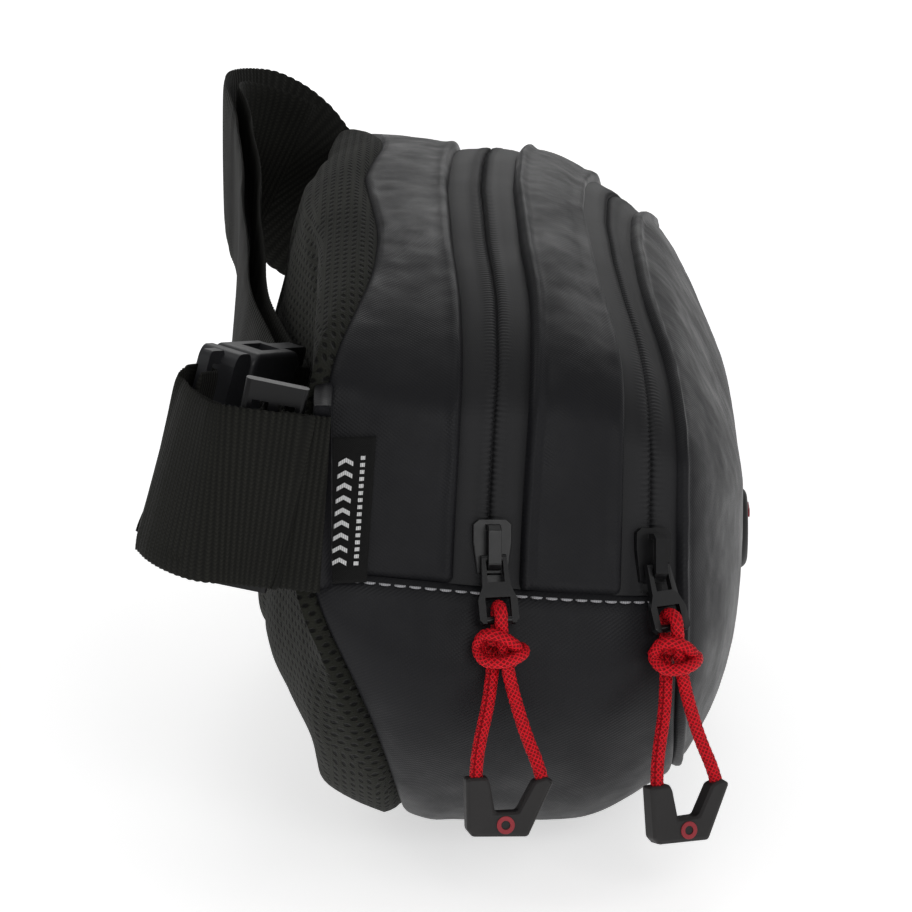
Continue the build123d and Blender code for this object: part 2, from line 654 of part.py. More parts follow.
# ---------------------------------------------------------------- trim
LABEL_HEIGHT, LABEL_DEPTH = 91.0, 32.0
LABEL_SIZE, LABEL_THICK = (10.0, 32.0), 0.6
label_width = form_at(LABEL_DEPTH)[0] + 0.5
label_x = (LABEL_HEIGHT - WIDTH_LEVEL) * tan(radians(SIDE_LEAN)) - label_width
with BuildPart() as side_label:
    label_out = Vector(0, -1, 0).cross(TRACK_UP)
    with BuildSketch(
        Plane(origin=(label_x, LABEL_DEPTH, LABEL_HEIGHT), x_dir=(0, -1, 0), z_dir=label_out)
    ):
        Rectangle(*LABEL_SIZE)
    extrude(amount=LABEL_THICK)
finish(side_label, "side_label")

BADGE_Z, BADGE_RADIUS, BADGE_PROUD, BADGE_ROUND = 52.0, 10.0, 3.4, 2.6
ACCENT_UP, ACCENT_SIZE, ACCENT_PROUD = 4.5, (8.0, 2.0), 0.5
with BuildPart() as front_badge:
    with BuildSketch(Plane.XZ.offset(-FRONT_Y)):
        with Locations((0, BADGE_Z)):
            Circle(BADGE_RADIUS)
    extrude(amount=BADGE_PROUD)
    fillet(front_badge.faces().sort_by(Axis.Y)[0].edges(), BADGE_ROUND)
finish(front_badge, "front_badge")

with BuildPart() as badge_accent:
    with BuildSketch(Plane.XZ.offset(BADGE_PROUD - FRONT_Y)):
        with Locations((0, BADGE_Z + ACCENT_UP)):
            RectangleRounded(*ACCENT_SIZE, 0.9)
    extrude(amount=ACCENT_PROUD)
finish(badge_accent, "badge_accent")
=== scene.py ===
from math import cos, pi, radians, sin, sqrt, tan

import bpy
import numpy as np
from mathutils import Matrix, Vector, noise


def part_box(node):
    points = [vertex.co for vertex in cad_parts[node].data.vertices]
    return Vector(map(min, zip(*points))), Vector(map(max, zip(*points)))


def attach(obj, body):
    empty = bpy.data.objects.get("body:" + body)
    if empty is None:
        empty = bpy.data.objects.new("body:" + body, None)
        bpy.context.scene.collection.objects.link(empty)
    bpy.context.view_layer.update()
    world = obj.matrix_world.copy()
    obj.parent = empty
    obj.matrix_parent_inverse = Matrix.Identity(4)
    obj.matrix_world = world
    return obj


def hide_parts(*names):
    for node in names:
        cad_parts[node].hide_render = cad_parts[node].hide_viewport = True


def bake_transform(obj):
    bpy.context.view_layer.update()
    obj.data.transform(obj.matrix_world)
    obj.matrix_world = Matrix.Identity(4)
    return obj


# Waist pack. The CAD gives the frame; lengths in this file are millimetres until they reach a mesh.
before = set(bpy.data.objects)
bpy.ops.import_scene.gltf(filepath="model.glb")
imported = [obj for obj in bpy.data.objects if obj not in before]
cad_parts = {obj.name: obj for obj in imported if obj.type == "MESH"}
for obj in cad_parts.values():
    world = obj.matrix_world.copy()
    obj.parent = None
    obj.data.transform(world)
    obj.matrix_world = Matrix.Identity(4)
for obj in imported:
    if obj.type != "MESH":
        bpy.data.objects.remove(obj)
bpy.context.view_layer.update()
MM = 0.001
RIB = 1.35  # pitch of the webbing's ribs
COIL_PITCH = 1.27

# ---------------- camera, light, floor
TARGET = Vector((0, 11.8, 69.8)) * MM
VIEW_DISTANCE, VIEW_RISE = 1.5, radians(15)
camera_data = bpy.data.cameras.new("camera")
camera_data.lens, camera_data.sensor_width = 246, 36
camera_data.clip_end = 50
camera = bpy.data.objects.new("camera", camera_data)
bpy.context.scene.collection.objects.link(camera)
camera.location = TARGET + Vector((-cos(VIEW_RISE), 0, sin(VIEW_RISE))) * VIEW_DISTANCE
camera.rotation_euler = (TARGET - camera.location).to_track_quat("-Z", "Y").to_euler()
bpy.context.scene.camera = camera


def area_light(name, place, power, size):
    data = bpy.data.lights.new(name, "AREA")
    data.energy, data.size = power, size
    lamp = bpy.data.objects.new(name, data)
    lamp.location = place
    lamp.rotation_euler = (TARGET - Vector(place)).to_track_quat("-Z", "Y").to_euler()
    bpy.context.scene.collection.objects.link(lamp)


area_light("key", (-1.5, -0.45, 0.8), 5, 0.7)
area_light("side", (-0.5, -1.6, 0.9), 2.8, 0.9)
area_light("top", (0.1, 0.0, 1.7), 2.6, 1.0)
area_light("back", (0.3, 1.6, 1.0), 3, 0.9)
area_light("far_end", (1.5, -0.3, 0.8), 3, 0.9)
area_light("fill", (-1.3, 1.1, 0.5), 1.2, 0.8)

world = bpy.data.worlds.new("studio")
bpy.context.scene.world = world
world.use_nodes = True
world.node_tree.nodes["Background"].inputs["Color"].default_value = (1, 1, 1, 1)
world.node_tree.nodes["Background"].inputs["Strength"].default_value = 0.32
bpy.context.scene.view_settings.view_transform = "Standard"


# ---------------- materials
class Nodes:
    """A short way to write a material's node tree."""

    def __init__(self, name, colour, roughness, **sockets):
        self.material = bpy.data.materials.new(name)
        self.material.use_nodes = True
        self.tree = self.material.node_tree
        self.shader = self.tree.nodes["Principled BSDF"]
        self.shader.inputs["Base Color"].default_value = (*colour, 1)
        self.shader.inputs["Roughness"].default_value = roughness
        for socket, value in sockets.items():
            self.shader.inputs[socket.replace("_", " ")].default_value = value

    def add(self, kind, values=None, links=None, **props):
        node = self.tree.nodes.new(kind)
        for prop, value in props.items():
            setattr(node, prop, value)
        for key, value in (values or {}).items():
            node.inputs[key].default_value = value
        for key, source in (links or {}).items():
            self.tree.links.new(source, node.inputs[key])
        return node

    def maths(self, operation, first, second=0.0, third=None):
        node = self.add("ShaderNodeMath", operation=operation)
        for i, value in enumerate((first, second, third)):
            if value is None:
                continue
            if isinstance(value, (int, float)):
                node.inputs[i].default_value = value
            else:
                self.tree.links.new(value, node.inputs[i])
        return node.outputs[0]

    def uv(self):
        """The surface's own coordinates in millimetres, along and across."""
        split = self.add("ShaderNodeSeparateXYZ", links={0: self.add("ShaderNodeUVMap").outputs[0]})
        return [self.maths("MULTIPLY", split.outputs[i], 1000.0) for i in (0, 1)]

    def boxed(self):
        """Coordinates in millimetres on the level or upright plane the surface most faces."""
        coords = self.add("ShaderNodeTexCoord")
        place = self.add("ShaderNodeSeparateXYZ", links={0: coords.outputs["Object"]})
        facing = self.add("ShaderNodeSeparateXYZ", links={0: coords.outputs["Normal"]})
        x, y, z = [self.maths("MULTIPLY", place.outputs[i], 1000.0) for i in range(3)]
        a, b, c = [self.maths("ABSOLUTE", facing.outputs[i]) for i in range(3)]
        end = self.maths("GREATER_THAN", a, self.maths("MAXIMUM", b, c))
        level = self.maths("GREATER_THAN", c, self.maths("MAXIMUM", a, b))
        along = self.maths("MULTIPLY_ADD", end, self.maths("SUBTRACT", y, x), x)
        across = self.maths("MULTIPLY_ADD", level, self.maths("SUBTRACT", y, z), z)
        return along, across

    def wave(self, value, pitch):
        """A sine of the given pitch in millimetres, from 0 to 1."""
        turned = self.maths("MULTIPLY_ADD", value, 2 * pi / pitch, 0.0)
        return self.maths("MULTIPLY_ADD", self.maths("SINE", turned), 0.5, 0.5)

    def noise(self, scale, detail=3.0, rough=0.5):
        coords = self.add("ShaderNodeTexCoord")
        node = self.add(
            "ShaderNodeTexNoise",
            {"Scale": scale, "Detail": detail, "Roughness": rough},
            {"Vector": coords.outputs["Object"]},
        )
        return node.outputs["Fac"]

    def ramp(self, source, low, high, from_low=0.0, from_high=1.0):
        node = self.add(
            "ShaderNodeMapRange",
            {"From Min": from_low, "From Max": from_high, "To Min": low, "To Max": high},
            {"Value": source},
        )
        return node.outputs[0]

    def mix(self, share, first, second):
        node = self.add("ShaderNodeMix", data_type="RGBA")
        for i, value in ((6, first), (7, second)):
            if isinstance(value, tuple):
                node.inputs[i].default_value = (*value, 1)
            else:
                self.tree.links.new(value, node.inputs[i])
        self.tree.links.new(share, node.inputs[0])
        return node.outputs[2]

    def colour(self, source):
        self.tree.links.new(source, self.shader.inputs["Base Color"])

    def rough(self, source):
        self.tree.links.new(source, self.shader.inputs["Roughness"])

    def bumps(self, *layers):
        """Each layer is a height from 0 to 1, its height in millimetres and its strength."""
        normal = None
        for height, tall, strength in layers:
            values = {"Strength": strength, "Distance": tall * MM}
            node = self.add("ShaderNodeBump", values, {"Height": height})
            if normal is not None:
                self.tree.links.new(normal, node.inputs["Normal"])
            normal = node.outputs[0]
        self.tree.links.new(normal, self.shader.inputs["Normal"])


def coated_fabric():
    m = Nodes("coated_fabric", (0.012, 0.012, 0.0135), 0.42, Specular_IOR_Level=0.13)
    along, across = m.uv()
    one = m.wave(m.maths("ADD", along, m.maths("MULTIPLY", across, 0.62)), 0.78)
    two = m.wave(m.maths("SUBTRACT", m.maths("MULTIPLY", along, 0.55), across), 0.86)
    weave = m.maths("MULTIPLY", one, m.maths("MULTIPLY_ADD", two, 0.65, 0.35))
    patches = m.noise(16.0, 3.0)
    cloud = m.noise(70.0, 4.0, 0.6)
    m.colour(m.mix(m.ramp(patches, 0.1, 0.9, 0.3, 0.7), (0.0085, 0.0085, 0.0098), (0.0135, 0.0135, 0.0152)))
    gloss = m.maths("ADD", m.ramp(cloud, 0.36, 0.5, 0.35, 0.65), m.ramp(weave, 0.05, -0.02))
    m.rough(gloss)
    m.bumps((weave, 0.07, 0.55), (cloud, 0.12, 0.25))
    return m.material


def air_mesh():
    m = Nodes("air_mesh", (0.012, 0.0125, 0.009), 0.88, Specular_IOR_Level=0.15, Sheen_Weight=0.04)
    along, across = m.boxed()
    row = m.maths("FLOOR", m.maths("DIVIDE", across, 1.9))
    shift = m.maths("MULTIPLY", m.maths("MODULO", row, 2.0), 1.5)
    cell_x = m.maths("SUBTRACT", m.maths("FRACT", m.maths("DIVIDE", m.maths("ADD", along, shift), 3.0)), 0.5)
    cell_y = m.maths("SUBTRACT", m.maths("FRACT", m.maths("DIVIDE", across, 1.9)), 0.5)
    far = m.maths("SQRT", m.maths("ADD", m.maths("POWER", cell_x, 2.0), m.maths("POWER", cell_y, 2.0)))
    hole = m.ramp(far, 0.0, 1.0, 0.17, 0.34)
    knit = m.maths("MULTIPLY", m.wave(along, 0.75), m.wave(across, 0.6))
    patches = m.noise(30.0, 3.0)
    cloth = m.mix(m.ramp(patches, 0.0, 1.0, 0.3, 0.7), (0.010, 0.0105, 0.0078), (0.0165, 0.017, 0.0128))
    # The holes are painted near black: painted shade in the mesh's openings. The cloth between them varies
    # in tone at random.
    m.colour(m.mix(hole, (0.0015, 0.0015, 0.0012), cloth))
    m.bumps((hole, 0.5, 0.9), (knit, 0.12, 0.6))
    return m.material


def webbing_cloth():
    m = Nodes("webbing", (0.008, 0.008, 0.0066), 0.75, Specular_IOR_Level=0.14, Sheen_Weight=0.01)
    along, across = m.uv()
    rib = m.wave(along, RIB)
    yarn = m.wave(m.maths("MULTIPLY_ADD", rib, 0.5, across), 0.9)
    patches = m.noise(40.0, 3.0)
    ribbed, yarned = m.maths("MULTIPLY_ADD", rib, 0.7, 0.3), m.maths("MULTIPLY_ADD", yarn, 0.45, 0.55)
    relief = m.maths("MULTIPLY", ribbed, yarned)
    # The grooves between the ribs and yarns are painted dark: painted shade. The noise patches vary the tone
    # at random.
    light = m.maths("MULTIPLY", m.ramp(patches, 0.6, 1.0, 0.3, 0.7), relief)
    m.colour(m.mix(light, (0.0018, 0.0018, 0.0014), (0.0145, 0.0145, 0.0118)))
    m.bumps((relief, 0.25, 0.8), (m.noise(2600.0, 2.0), 0.08, 0.35))
    return m.material


def zip_tape_cloth():
    m = Nodes("zip_tape", (0.008, 0.008, 0.009), 0.52, Specular_IOR_Level=0.28)
    along, across = m.uv()
    twill = m.wave(m.maths("ADD", along, across), 0.55)
    patches = m.noise(45.0, 3.0)
    m.colour(m.mix(m.ramp(patches, 0.0, 1.0, 0.3, 0.7), (0.0065, 0.0065, 0.0075), (0.0105, 0.0105, 0.0118)))
    m.rough(m.ramp(patches, 0.5, 0.64))
    m.bumps((twill, 0.05, 0.4))
    return m.material


def braid(name, dark, light):
    m = Nodes(name, light, 0.6, Specular_IOR_Level=0.2, Sheen_Weight=0.0)
    along, across = m.uv()
    one = m.wave(m.maths("ADD", along, across), 1.18)
    two = m.wave(m.maths("SUBTRACT", along, across), 1.18)
    plait = m.maths("MAXIMUM", one, two)
    shade = m.maths("MULTIPLY", m.ramp(plait, 0.0, 1.0, 0.55, 1.0), m.ramp(m.noise(700.0, 2.0), 0.7, 1.0))
    m.colour(m.mix(shade, dark, light))
    m.bumps((plait, 0.22, 0.8), (m.noise(3500.0, 2.0), 0.05, 0.4))
    return m.material


def moulded(name, colour, low, high, grain=900.0, **sockets):
    """Moulded plastic or lacquered metal with a fine grain and uneven gloss."""
    m = Nodes(name, colour, (low + high) / 2, **sockets)
    fine, broad = m.noise(grain, 4.0, 0.6), m.noise(60.0, 3.0)
    dull = tuple(0.75 * c for c in colour)
    m.colour(m.mix(m.ramp(broad, 0.0, 1.0, 0.3, 0.7), dull, colour))
    m.rough(m.maths("MULTIPLY_ADD", fine, high - low, low))
    m.bumps((fine, 0.03, 0.35), (broad, 0.2, 0.12))
    return m.material


def lining_cloth():
    m = Nodes("lining", (0.15, 0.15, 0.16), 0.75)
    grid = m.maths("MAXIMUM", m.noise(500.0, 2.0), m.noise(120.0, 2.0))
    m.colour(m.mix(m.ramp(grid, 0.0, 1.0, 0.4, 0.7), (0.12, 0.12, 0.13), (0.17, 0.17, 0.18)))
    m.bumps((grid, 0.1, 0.4))
    return m.material


def thread(name, colour):
    m = Nodes(name, colour, 0.6, Sheen_Weight=0.2)
    along, _ = m.uv()
    twist = m.wave(along, 0.45)
    # The twist's grooves are painted darker: painted shade.
    m.colour(m.mix(twist, tuple(0.55 * c for c in colour), colour))
    m.bumps((twist, 0.05, 0.5))
    return m.material


def twill_label():
    m = Nodes("label", (0.006, 0.006, 0.006), 0.75, Specular_IOR_Level=0.15)
    along, across = m.uv()
    twill = m.wave(m.maths("ADD", along, across), 0.5)
    # The twill's grooves are painted darker: painted shade.
    m.colour(m.mix(twill, (0.004, 0.004, 0.004), (0.0085, 0.0085, 0.0085)))
    m.bumps((twill, 0.08, 0.6))
    return m.material


def floor_paint():
    m = Nodes("floor", (0.9, 0.9, 0.9), 0.8, Emission_Color=(1, 1, 1, 1), Emission_Strength=0.6)
    m.colour(m.mix(m.noise(3.0), (0.89, 0.89, 0.89), (0.92, 0.92, 0.92)))
    return m.material


FABRIC, MESH_CLOTH, WEB_CLOTH, TAPE_CLOTH = coated_fabric(), air_mesh(), webbing_cloth(), zip_tape_cloth()
CORD_CLOTH = braid("cord_braid", (0.22, 0.001, 0.004), (0.80, 0.004, 0.016))
METAL = moulded("slider_metal", (0.005, 0.005, 0.0056), 0.24, 0.4, 700.0, Specular_IOR_Level=0.36)
PULL_PLASTIC = moulded("pull_plastic", (0.021, 0.0195, 0.0195), 0.5, 0.66, 1400.0, Specular_IOR_Level=0.3)
BUCKLE_PLASTIC = moulded("buckle_plastic", (0.017, 0.0175, 0.02), 0.36, 0.52, 1100.0, Specular_IOR_Level=0.4)
ADJUSTER_PLASTIC = moulded(
    "adjuster_plastic", (0.0035, 0.0035, 0.004), 0.3, 0.44, 1100.0, Specular_IOR_Level=0.25
)
RUBBER = moulded("badge_rubber", (0.01, 0.01, 0.01), 0.5, 0.62, 500.0, Specular_IOR_Level=0.3)
RED = moulded("mark_red", (0.3, 0.01, 0.02), 0.45, 0.6)
LINING, LABEL = lining_cloth(), twill_label()
WHITE_THREAD = thread("label_thread", (0.75, 0.75, 0.75))
GREY_THREAD = thread("seam_thread", (0.36, 0.36, 0.38))


# ---------------- mesh tools
def mesh_object(name, points, faces, uvs, material):
    """points in millimetres; uvs has one pair per point, in millimetres; either may be a grid."""
    points, uvs = np.reshape(points, (-1, 3)), np.reshape(uvs, (-1, 2))
    mesh = bpy.data.meshes.new(name)
    mesh.from_pydata((points * MM).tolist(), [], faces)
    corners = np.zeros(len(mesh.loops), np.int32)
    mesh.loops.foreach_get("vertex_index", corners)
    layer = mesh.uv_layers.new(name="UVMap")
    layer.data.foreach_set("uv", (uvs * MM)[corners].astype(np.float32).ravel())
    mesh.polygons.foreach_set("use_smooth", [True] * len(mesh.polygons))
    mesh.materials.append(material)
    mesh.update()
    piece = bpy.data.objects.new(name, mesh)
    bpy.context.scene.collection.objects.link(piece)
    return piece


def grid_faces(rows, columns, close_columns=False, flip=False):
    faces = []
    for i in range(rows - 1):
        for j in range(columns if close_columns else columns - 1):
            a, b = i * columns + j, i * columns + (j + 1) % columns
            c, d = b + columns, a + columns
            faces.append((a, d, c, b) if flip else (a, b, c, d))
    return faces


def end_caps(rows, columns):
    """The two faces that close the ends of a tube."""
    return [tuple(range(columns))[::-1], tuple((rows - 1) * columns + k for k in range(columns))]


def grid_normals(points, outward_from):
    """Unit normals of a grid of points, turned away from a middle point."""
    across, along = np.gradient(points, axis=0), np.gradient(points, axis=1)
    normals = np.cross(along, across)
    normals /= np.maximum(np.linalg.norm(normals, axis=2, keepdims=True), 1e-9)
    turn = np.sign(((points - outward_from) * normals).sum(2, keepdims=True))
    return normals * np.where(turn == 0, 1, turn)


def reach_of(line):
    """Distance along a line to each of its points."""
    return np.concatenate([[0], np.cumsum(np.linalg.norm(np.diff(line, axis=0), axis=1))])


def unit(vectors):
    return vectors / np.linalg.norm(vectors, axis=1, keepdims=True)


def spread(points, axis):
    """Distance along one direction of a grid, from its first row or column."""
    steps = np.linalg.norm(np.diff(points, axis=axis), axis=2)
    total = np.cumsum(steps, axis=axis)
    return np.concatenate([np.zeros_like(np.take(total, [0], axis=axis)), total], axis=axis)


def cloth_noise(points, size, seed):
    flat = points.reshape(-1, 3) / size
    values = [noise.noise(Vector((p[0] + seed, p[1], p[2]))) for p in flat]
    return np.array(values).reshape(points.shape[:-1])


def smooth_step(value, low, high):
    share = np.clip((value - low) / (high - low), 0, 1)
    return share * share * (3 - 2 * share)


def smooth_line(points, spacing):
    """A Catmull-Rom curve through points, resampled at even spacing."""
    points = np.asarray(points, float)
    padded = np.vstack([2 * points[0] - points[1], points, 2 * points[-1] - points[-2]])
    share = np.linspace(0, 1, 24, endpoint=False)[:, None]
    out = []
    for p0, p1, p2, p3 in zip(padded, padded[1:], padded[2:], padded[3:]):
        out.append(
            0.5
            * (
                2 * p1
                + (p2 - p0) * share
                + (2 * p0 - 5 * p1 + 4 * p2 - p3) * share**2
                + (3 * p1 - p0 - 3 * p2 + p3) * share**3
            )
        )
    dense = np.vstack(out + [points[-1:]])
    reach = reach_of(dense)
    at = np.linspace(0, reach[-1], max(int(round(reach[-1] / spacing)) + 1, 3))
    return np.stack([np.interp(at, reach, dense[:, k]) for k in range(3)], 1), at


def apply_modifiers(piece):
    """Bakes a piece's modifiers into its mesh."""
    bpy.context.view_layer.update()
    shaped = piece.evaluated_get(bpy.context.evaluated_depsgraph_get())
    mesh = bpy.data.meshes.new_from_object(shaped)
    piece.modifiers.clear()
    piece.data = mesh


# ---------------- the bag's surface
SIDE_LEAN, WIDTH_LEVEL = 16.0, 62.0
STRAIGHT_FROM, STRAIGHT_TO, FLAT_SHARE = 0.43, 0.80, 0.42
CORNER_SHARE, CREST_SHARE = 0.80, 0.38
SHOULDER_RISE, CORNER_DROP = 0.75, 0.25
FULL_WIDTH = 60.0  # narrower outlines than this lean less
SEAM_HEIGHT, SEAM_SLOPE = 73.3, 0.12
# Depth, half width, crest height, underside height.
FORM = np.array(
    [
        (50.0, 133.0, 138.6, 32.0),
        (45.0, 134.2, 140.4, 25.5),
        (41.0, 134.4, 140.0, 20.8),
        (36.0, 133.9, 139.2, 15.4),
        (32.0, 133.3, 138.4, 10.8),
        (26.0, 132.7, 137.6, 5.0),
        (20.0, 132.0, 137.0, 1.6),
        (17.0, 131.7, 136.8, 0.8),
        (11.0, 131.0, 136.6, 0.6),
        (-3.0, 128.9, 136.4, 0.6),
        (-13.0, 127.0, 133.4, 0.6),
        (-18.0, 125.7, 130.9, 1.0),
        (-24.5, 124.0, 127.8, 3.3),
        (-31.5, 121.0, 122.4, 7.3),
        (-38.5, 117.0, 115.6, 12.0),
        (-44.5, 106.0, 105.6, 20.0),
        (-49.6, 88.0, 95.4, 30.2),
        (-53.0, 64.0, 86.6, 38.4),
        (-54.9, 38.0, 77.6, 48.8),
        (-55.5, 16.0, 70.0, 58.8),
        (-55.6, 0.5, 64.6, 64.0),
    ]
)
LOW_COLUMNS, HIGH_COLUMNS, OUTLINES = 64, 120, 360
SEAM_LOWEST, SEAM_HIGHEST = 0.35, 0.65  # the seam's level as a share of an outline's height
MIDDLE = np.array([0.0, -5.0, 70.0])  # a point inside the bag


def bezier(p0, p1, p2, p3, count):
    t = np.linspace(0, 1, count)[:, None]
    return (1 - t) ** 3 * p0 + 3 * (1 - t) ** 2 * t * p1 + 3 * (1 - t) * t**2 * p2 + t**3 * p3


def half_section(width, crest, floor):
    """The bag's outline from the middle of its underside to the middle of its crest."""
    slope = tan(radians(SIDE_LEAN))
    low = floor + STRAIGHT_FROM * (crest - floor)
    high = floor + STRAIGHT_TO * (crest - floor)
    x_low = max(width - (low - WIDTH_LEVEL) * slope * min(1, width / FULL_WIDTH), 0.2)
    x_high = max(x_low - (high - low) * slope * min(1, width / FULL_WIDTH), 0.1)
    flat, up, down = FLAT_SHARE * x_low, SHOULDER_RISE * (crest - high), CORNER_DROP * (low - floor)
    points = [np.array(p, float) for p in ((0, floor), (flat, floor), (CORNER_SHARE * x_low, floor))]
    points += [np.array(p, float) for p in ((x_low + down * slope, low - down), (x_low, low))]
    points += [np.array(p, float) for p in ((x_high, high), (x_high - up * slope, high + up))]
    points += [np.array(p, float) for p in ((CREST_SHARE * x_high, crest), (0, crest))]
    line = [
        np.linspace(points[0], points[1], 16),
        bezier(*points[1:5], 40)[1:],
        np.linspace(points[4], points[5], 24)[1:],
        bezier(*points[5:9], 60)[1:],
    ]
    return np.vstack(line)


def sample_form():
    """The form's outlines, cut at the seam level, at many even steps of depth."""
    knots = np.concatenate([[0], np.cumsum(np.hypot(np.diff(FORM[:, 0]), 0.35 * np.diff(FORM[:, 2])))])
    at = np.linspace(0, knots[-1], OUTLINES)
    table = []
    for k in range(4):
        slopes = np.gradient(FORM[:, k], knots)
        index = np.clip(np.searchsorted(knots, at, side="right") - 1, 0, len(knots) - 2)
        span = knots[index + 1] - knots[index]
        t = (at - knots[index]) / span
        table.append(
            (2 * t**3 - 3 * t**2 + 1) * FORM[index, k]
            + (t**3 - 2 * t**2 + t) * span * slopes[index]
            + (3 * t**2 - 2 * t**3) * FORM[index + 1, k]
            + (t**3 - t**2) * span * slopes[index + 1]
        )
    depth, width, crest, floor = table
    depth = np.minimum.accumulate(depth - np.arange(len(at)) * 1e-6)
    rows = []
    for y, w, c, f in zip(depth, np.maximum(width, 0.3), crest, floor):
        line = half_section(w, c, f)
        reach = reach_of(line)
        lowest, highest = f + SEAM_LOWEST * (c - f), f + SEAM_HIGHEST * (c - f)
        level = min(max(SEAM_HEIGHT + SEAM_SLOPE * y, lowest), highest)
        cut = np.interp(level, line[:, 1], reach)
        at_low, at_high = np.linspace(0, cut, LOW_COLUMNS), np.linspace(cut, reach[-1], HIGH_COLUMNS)
        stops = np.concatenate([at_low, at_high[1:]])
        rows.append(np.stack([np.interp(stops, reach, line[:, k]) for k in (0, 1)], 1))
    return depth, np.array(rows)


FORM_DEPTH, FORM_ROWS = sample_form()
COLUMNS = FORM_ROWS.shape[1]
COLUMN = np.concatenate([np.linspace(-1, 0, LOW_COLUMNS), np.linspace(0, 1, HIGH_COLUMNS)[1:]])


def form_points(row, column):
    """Points of the bag at rows (0..1 through FORM_ROWS) and columns (-1 below, 0 seam, 1 crest)."""
    row = np.clip(row, 0, 1) * (len(FORM_DEPTH) - 1)
    side = np.where(column > 0, HIGH_COLUMNS - 1, LOW_COLUMNS - 1)
    place = np.clip((LOW_COLUMNS - 1) + column * side, 0, COLUMNS - 1)
    r0, c0 = np.minimum(row.astype(int), len(FORM_DEPTH) - 2), np.minimum(place.astype(int), COLUMNS - 2)
    fr, fc = (row - r0)[..., None], (place - c0)[..., None]
    top = FORM_ROWS[r0, c0] * (1 - fc) + FORM_ROWS[r0, c0 + 1] * fc
    low = FORM_ROWS[r0 + 1, c0] * (1 - fc) + FORM_ROWS[r0 + 1, c0 + 1] * fc
    flat = top * (1 - fr) + low * fr
    depth = FORM_DEPTH[r0] * (1 - fr[..., 0]) + FORM_DEPTH[r0 + 1] * fr[..., 0]
    return np.stack([flat[..., 0], depth, flat[..., 1]], -1)


def row_at(depth):
    """Row position of a depth Y."""
    return np.interp(-np.asarray(depth, float), -FORM_DEPTH, np.linspace(0, 1, len(FORM_DEPTH)))


# Seams: depth Y against column, from the middle of the underside (-1) to the crest (1).
PAD_SEAM = (
    [-1, -0.6, -0.47, -0.34, -0.24, -0.16, -0.09, -0.05, 0, 0.16, 0.3, 0.42, 0.55, 0.7, 1],
    [24.5, 24.5, 25, 27, 30.5, 35, 40, 43, 45, 43, 39, 34.5, 31, 30, 34],
)
MAIN_BACK = ([-1, 0, 0.12, 0.3, 0.5, 0.7, 1], [12, 12, 11.2, 9.8, 10.4, 12.4, 13.5])
MAIN_FRONT = ([-1, 0, 0.12, 0.3, 0.5, 0.7, 1], [-2, -2, -2.9, -4.9, -5.2, -3.0, -1.8])
FRONT_BACK = ([-1, 0, 0.3, 0.5, 0.62, 0.75, 1], [-24.5, -25.5, -26.4, -24.6, -22.2, -20.6, -19.2])
FRONT_FRONT = ([-1, 0, 0.3, 0.5, 0.62, 0.75, 1], [-38.5, -38.0, -38.2, -36.0, -33.2, -31.4, -30.4])


def seam_depth(seam, column):
    """Smoothed depth of a seam at each column."""
    fine = np.linspace(-1, 1, 401)
    line = np.interp(fine, *seam)
    kernel = np.hanning(41)
    wide = np.pad(line, 20, mode="edge")
    return np.interp(column, fine, np.convolve(wide, kernel / kernel.sum(), mode="valid"))


# A panel edge's profile: distance from the edge against height off the form.
LIP = ([0, 0.35, 0.8, 1.4, 2.2, 3.2, 4.4, 6.0], [-2.2, -1.0, 0.0, 0.42, 0.42, 0.12, -0.08, 0.0])
FOLD = ([0, 0.35, 0.8, 1.4, 2.0, 2.8, 3.8, 5.2], [-2.2, -0.6, 0.55, 1.0, 0.95, 0.35, -0.12, 0.0])
TUCK = ([0, 0.5, 1.1, 2.0, 3.4], [-1.6, -0.7, -0.2, 0.0, 0.0])
FLAT = ([0, 1], [0, 0])
# Distances from a panel's edge at which its mesh has rows.
EDGE_STOPS = [0, 0.2, 0.45, 0.8, 1.15, 1.5, 1.95, 2.4, 2.9, 3.4, 4.0, 4.7, 5.5]


def edge_steps(length, count, last):
    """Shares of a length: close together at its first edge, and at its last if asked."""
    head = [s / length for s in EDGE_STOPS]
    tail = [1 - s / length for s in reversed(EDGE_STOPS)] if last else [1]
    inner = np.linspace(head[-1], tail[0], count + 2)[1:-1]
    return np.array(head + list(inner) + tail)


def end_to_end(rows, columns):
    """A grid of points of the bag, from its near end over the crest to its far end."""
    far = form_points(rows, np.broadcast_to(columns, rows.shape))
    near = far * np.array([-1, 1, 1])
    return np.concatenate([near, far[:, -2::-1]], axis=1)


WIDTH_AT, PAST_NOSE = 0.2, -62.0
FOLD_SIZE, PUCKER_SIZE, CREASE_SIZE = 34.0, 6.5, 3.5  # sizes of the cloth's unevenness


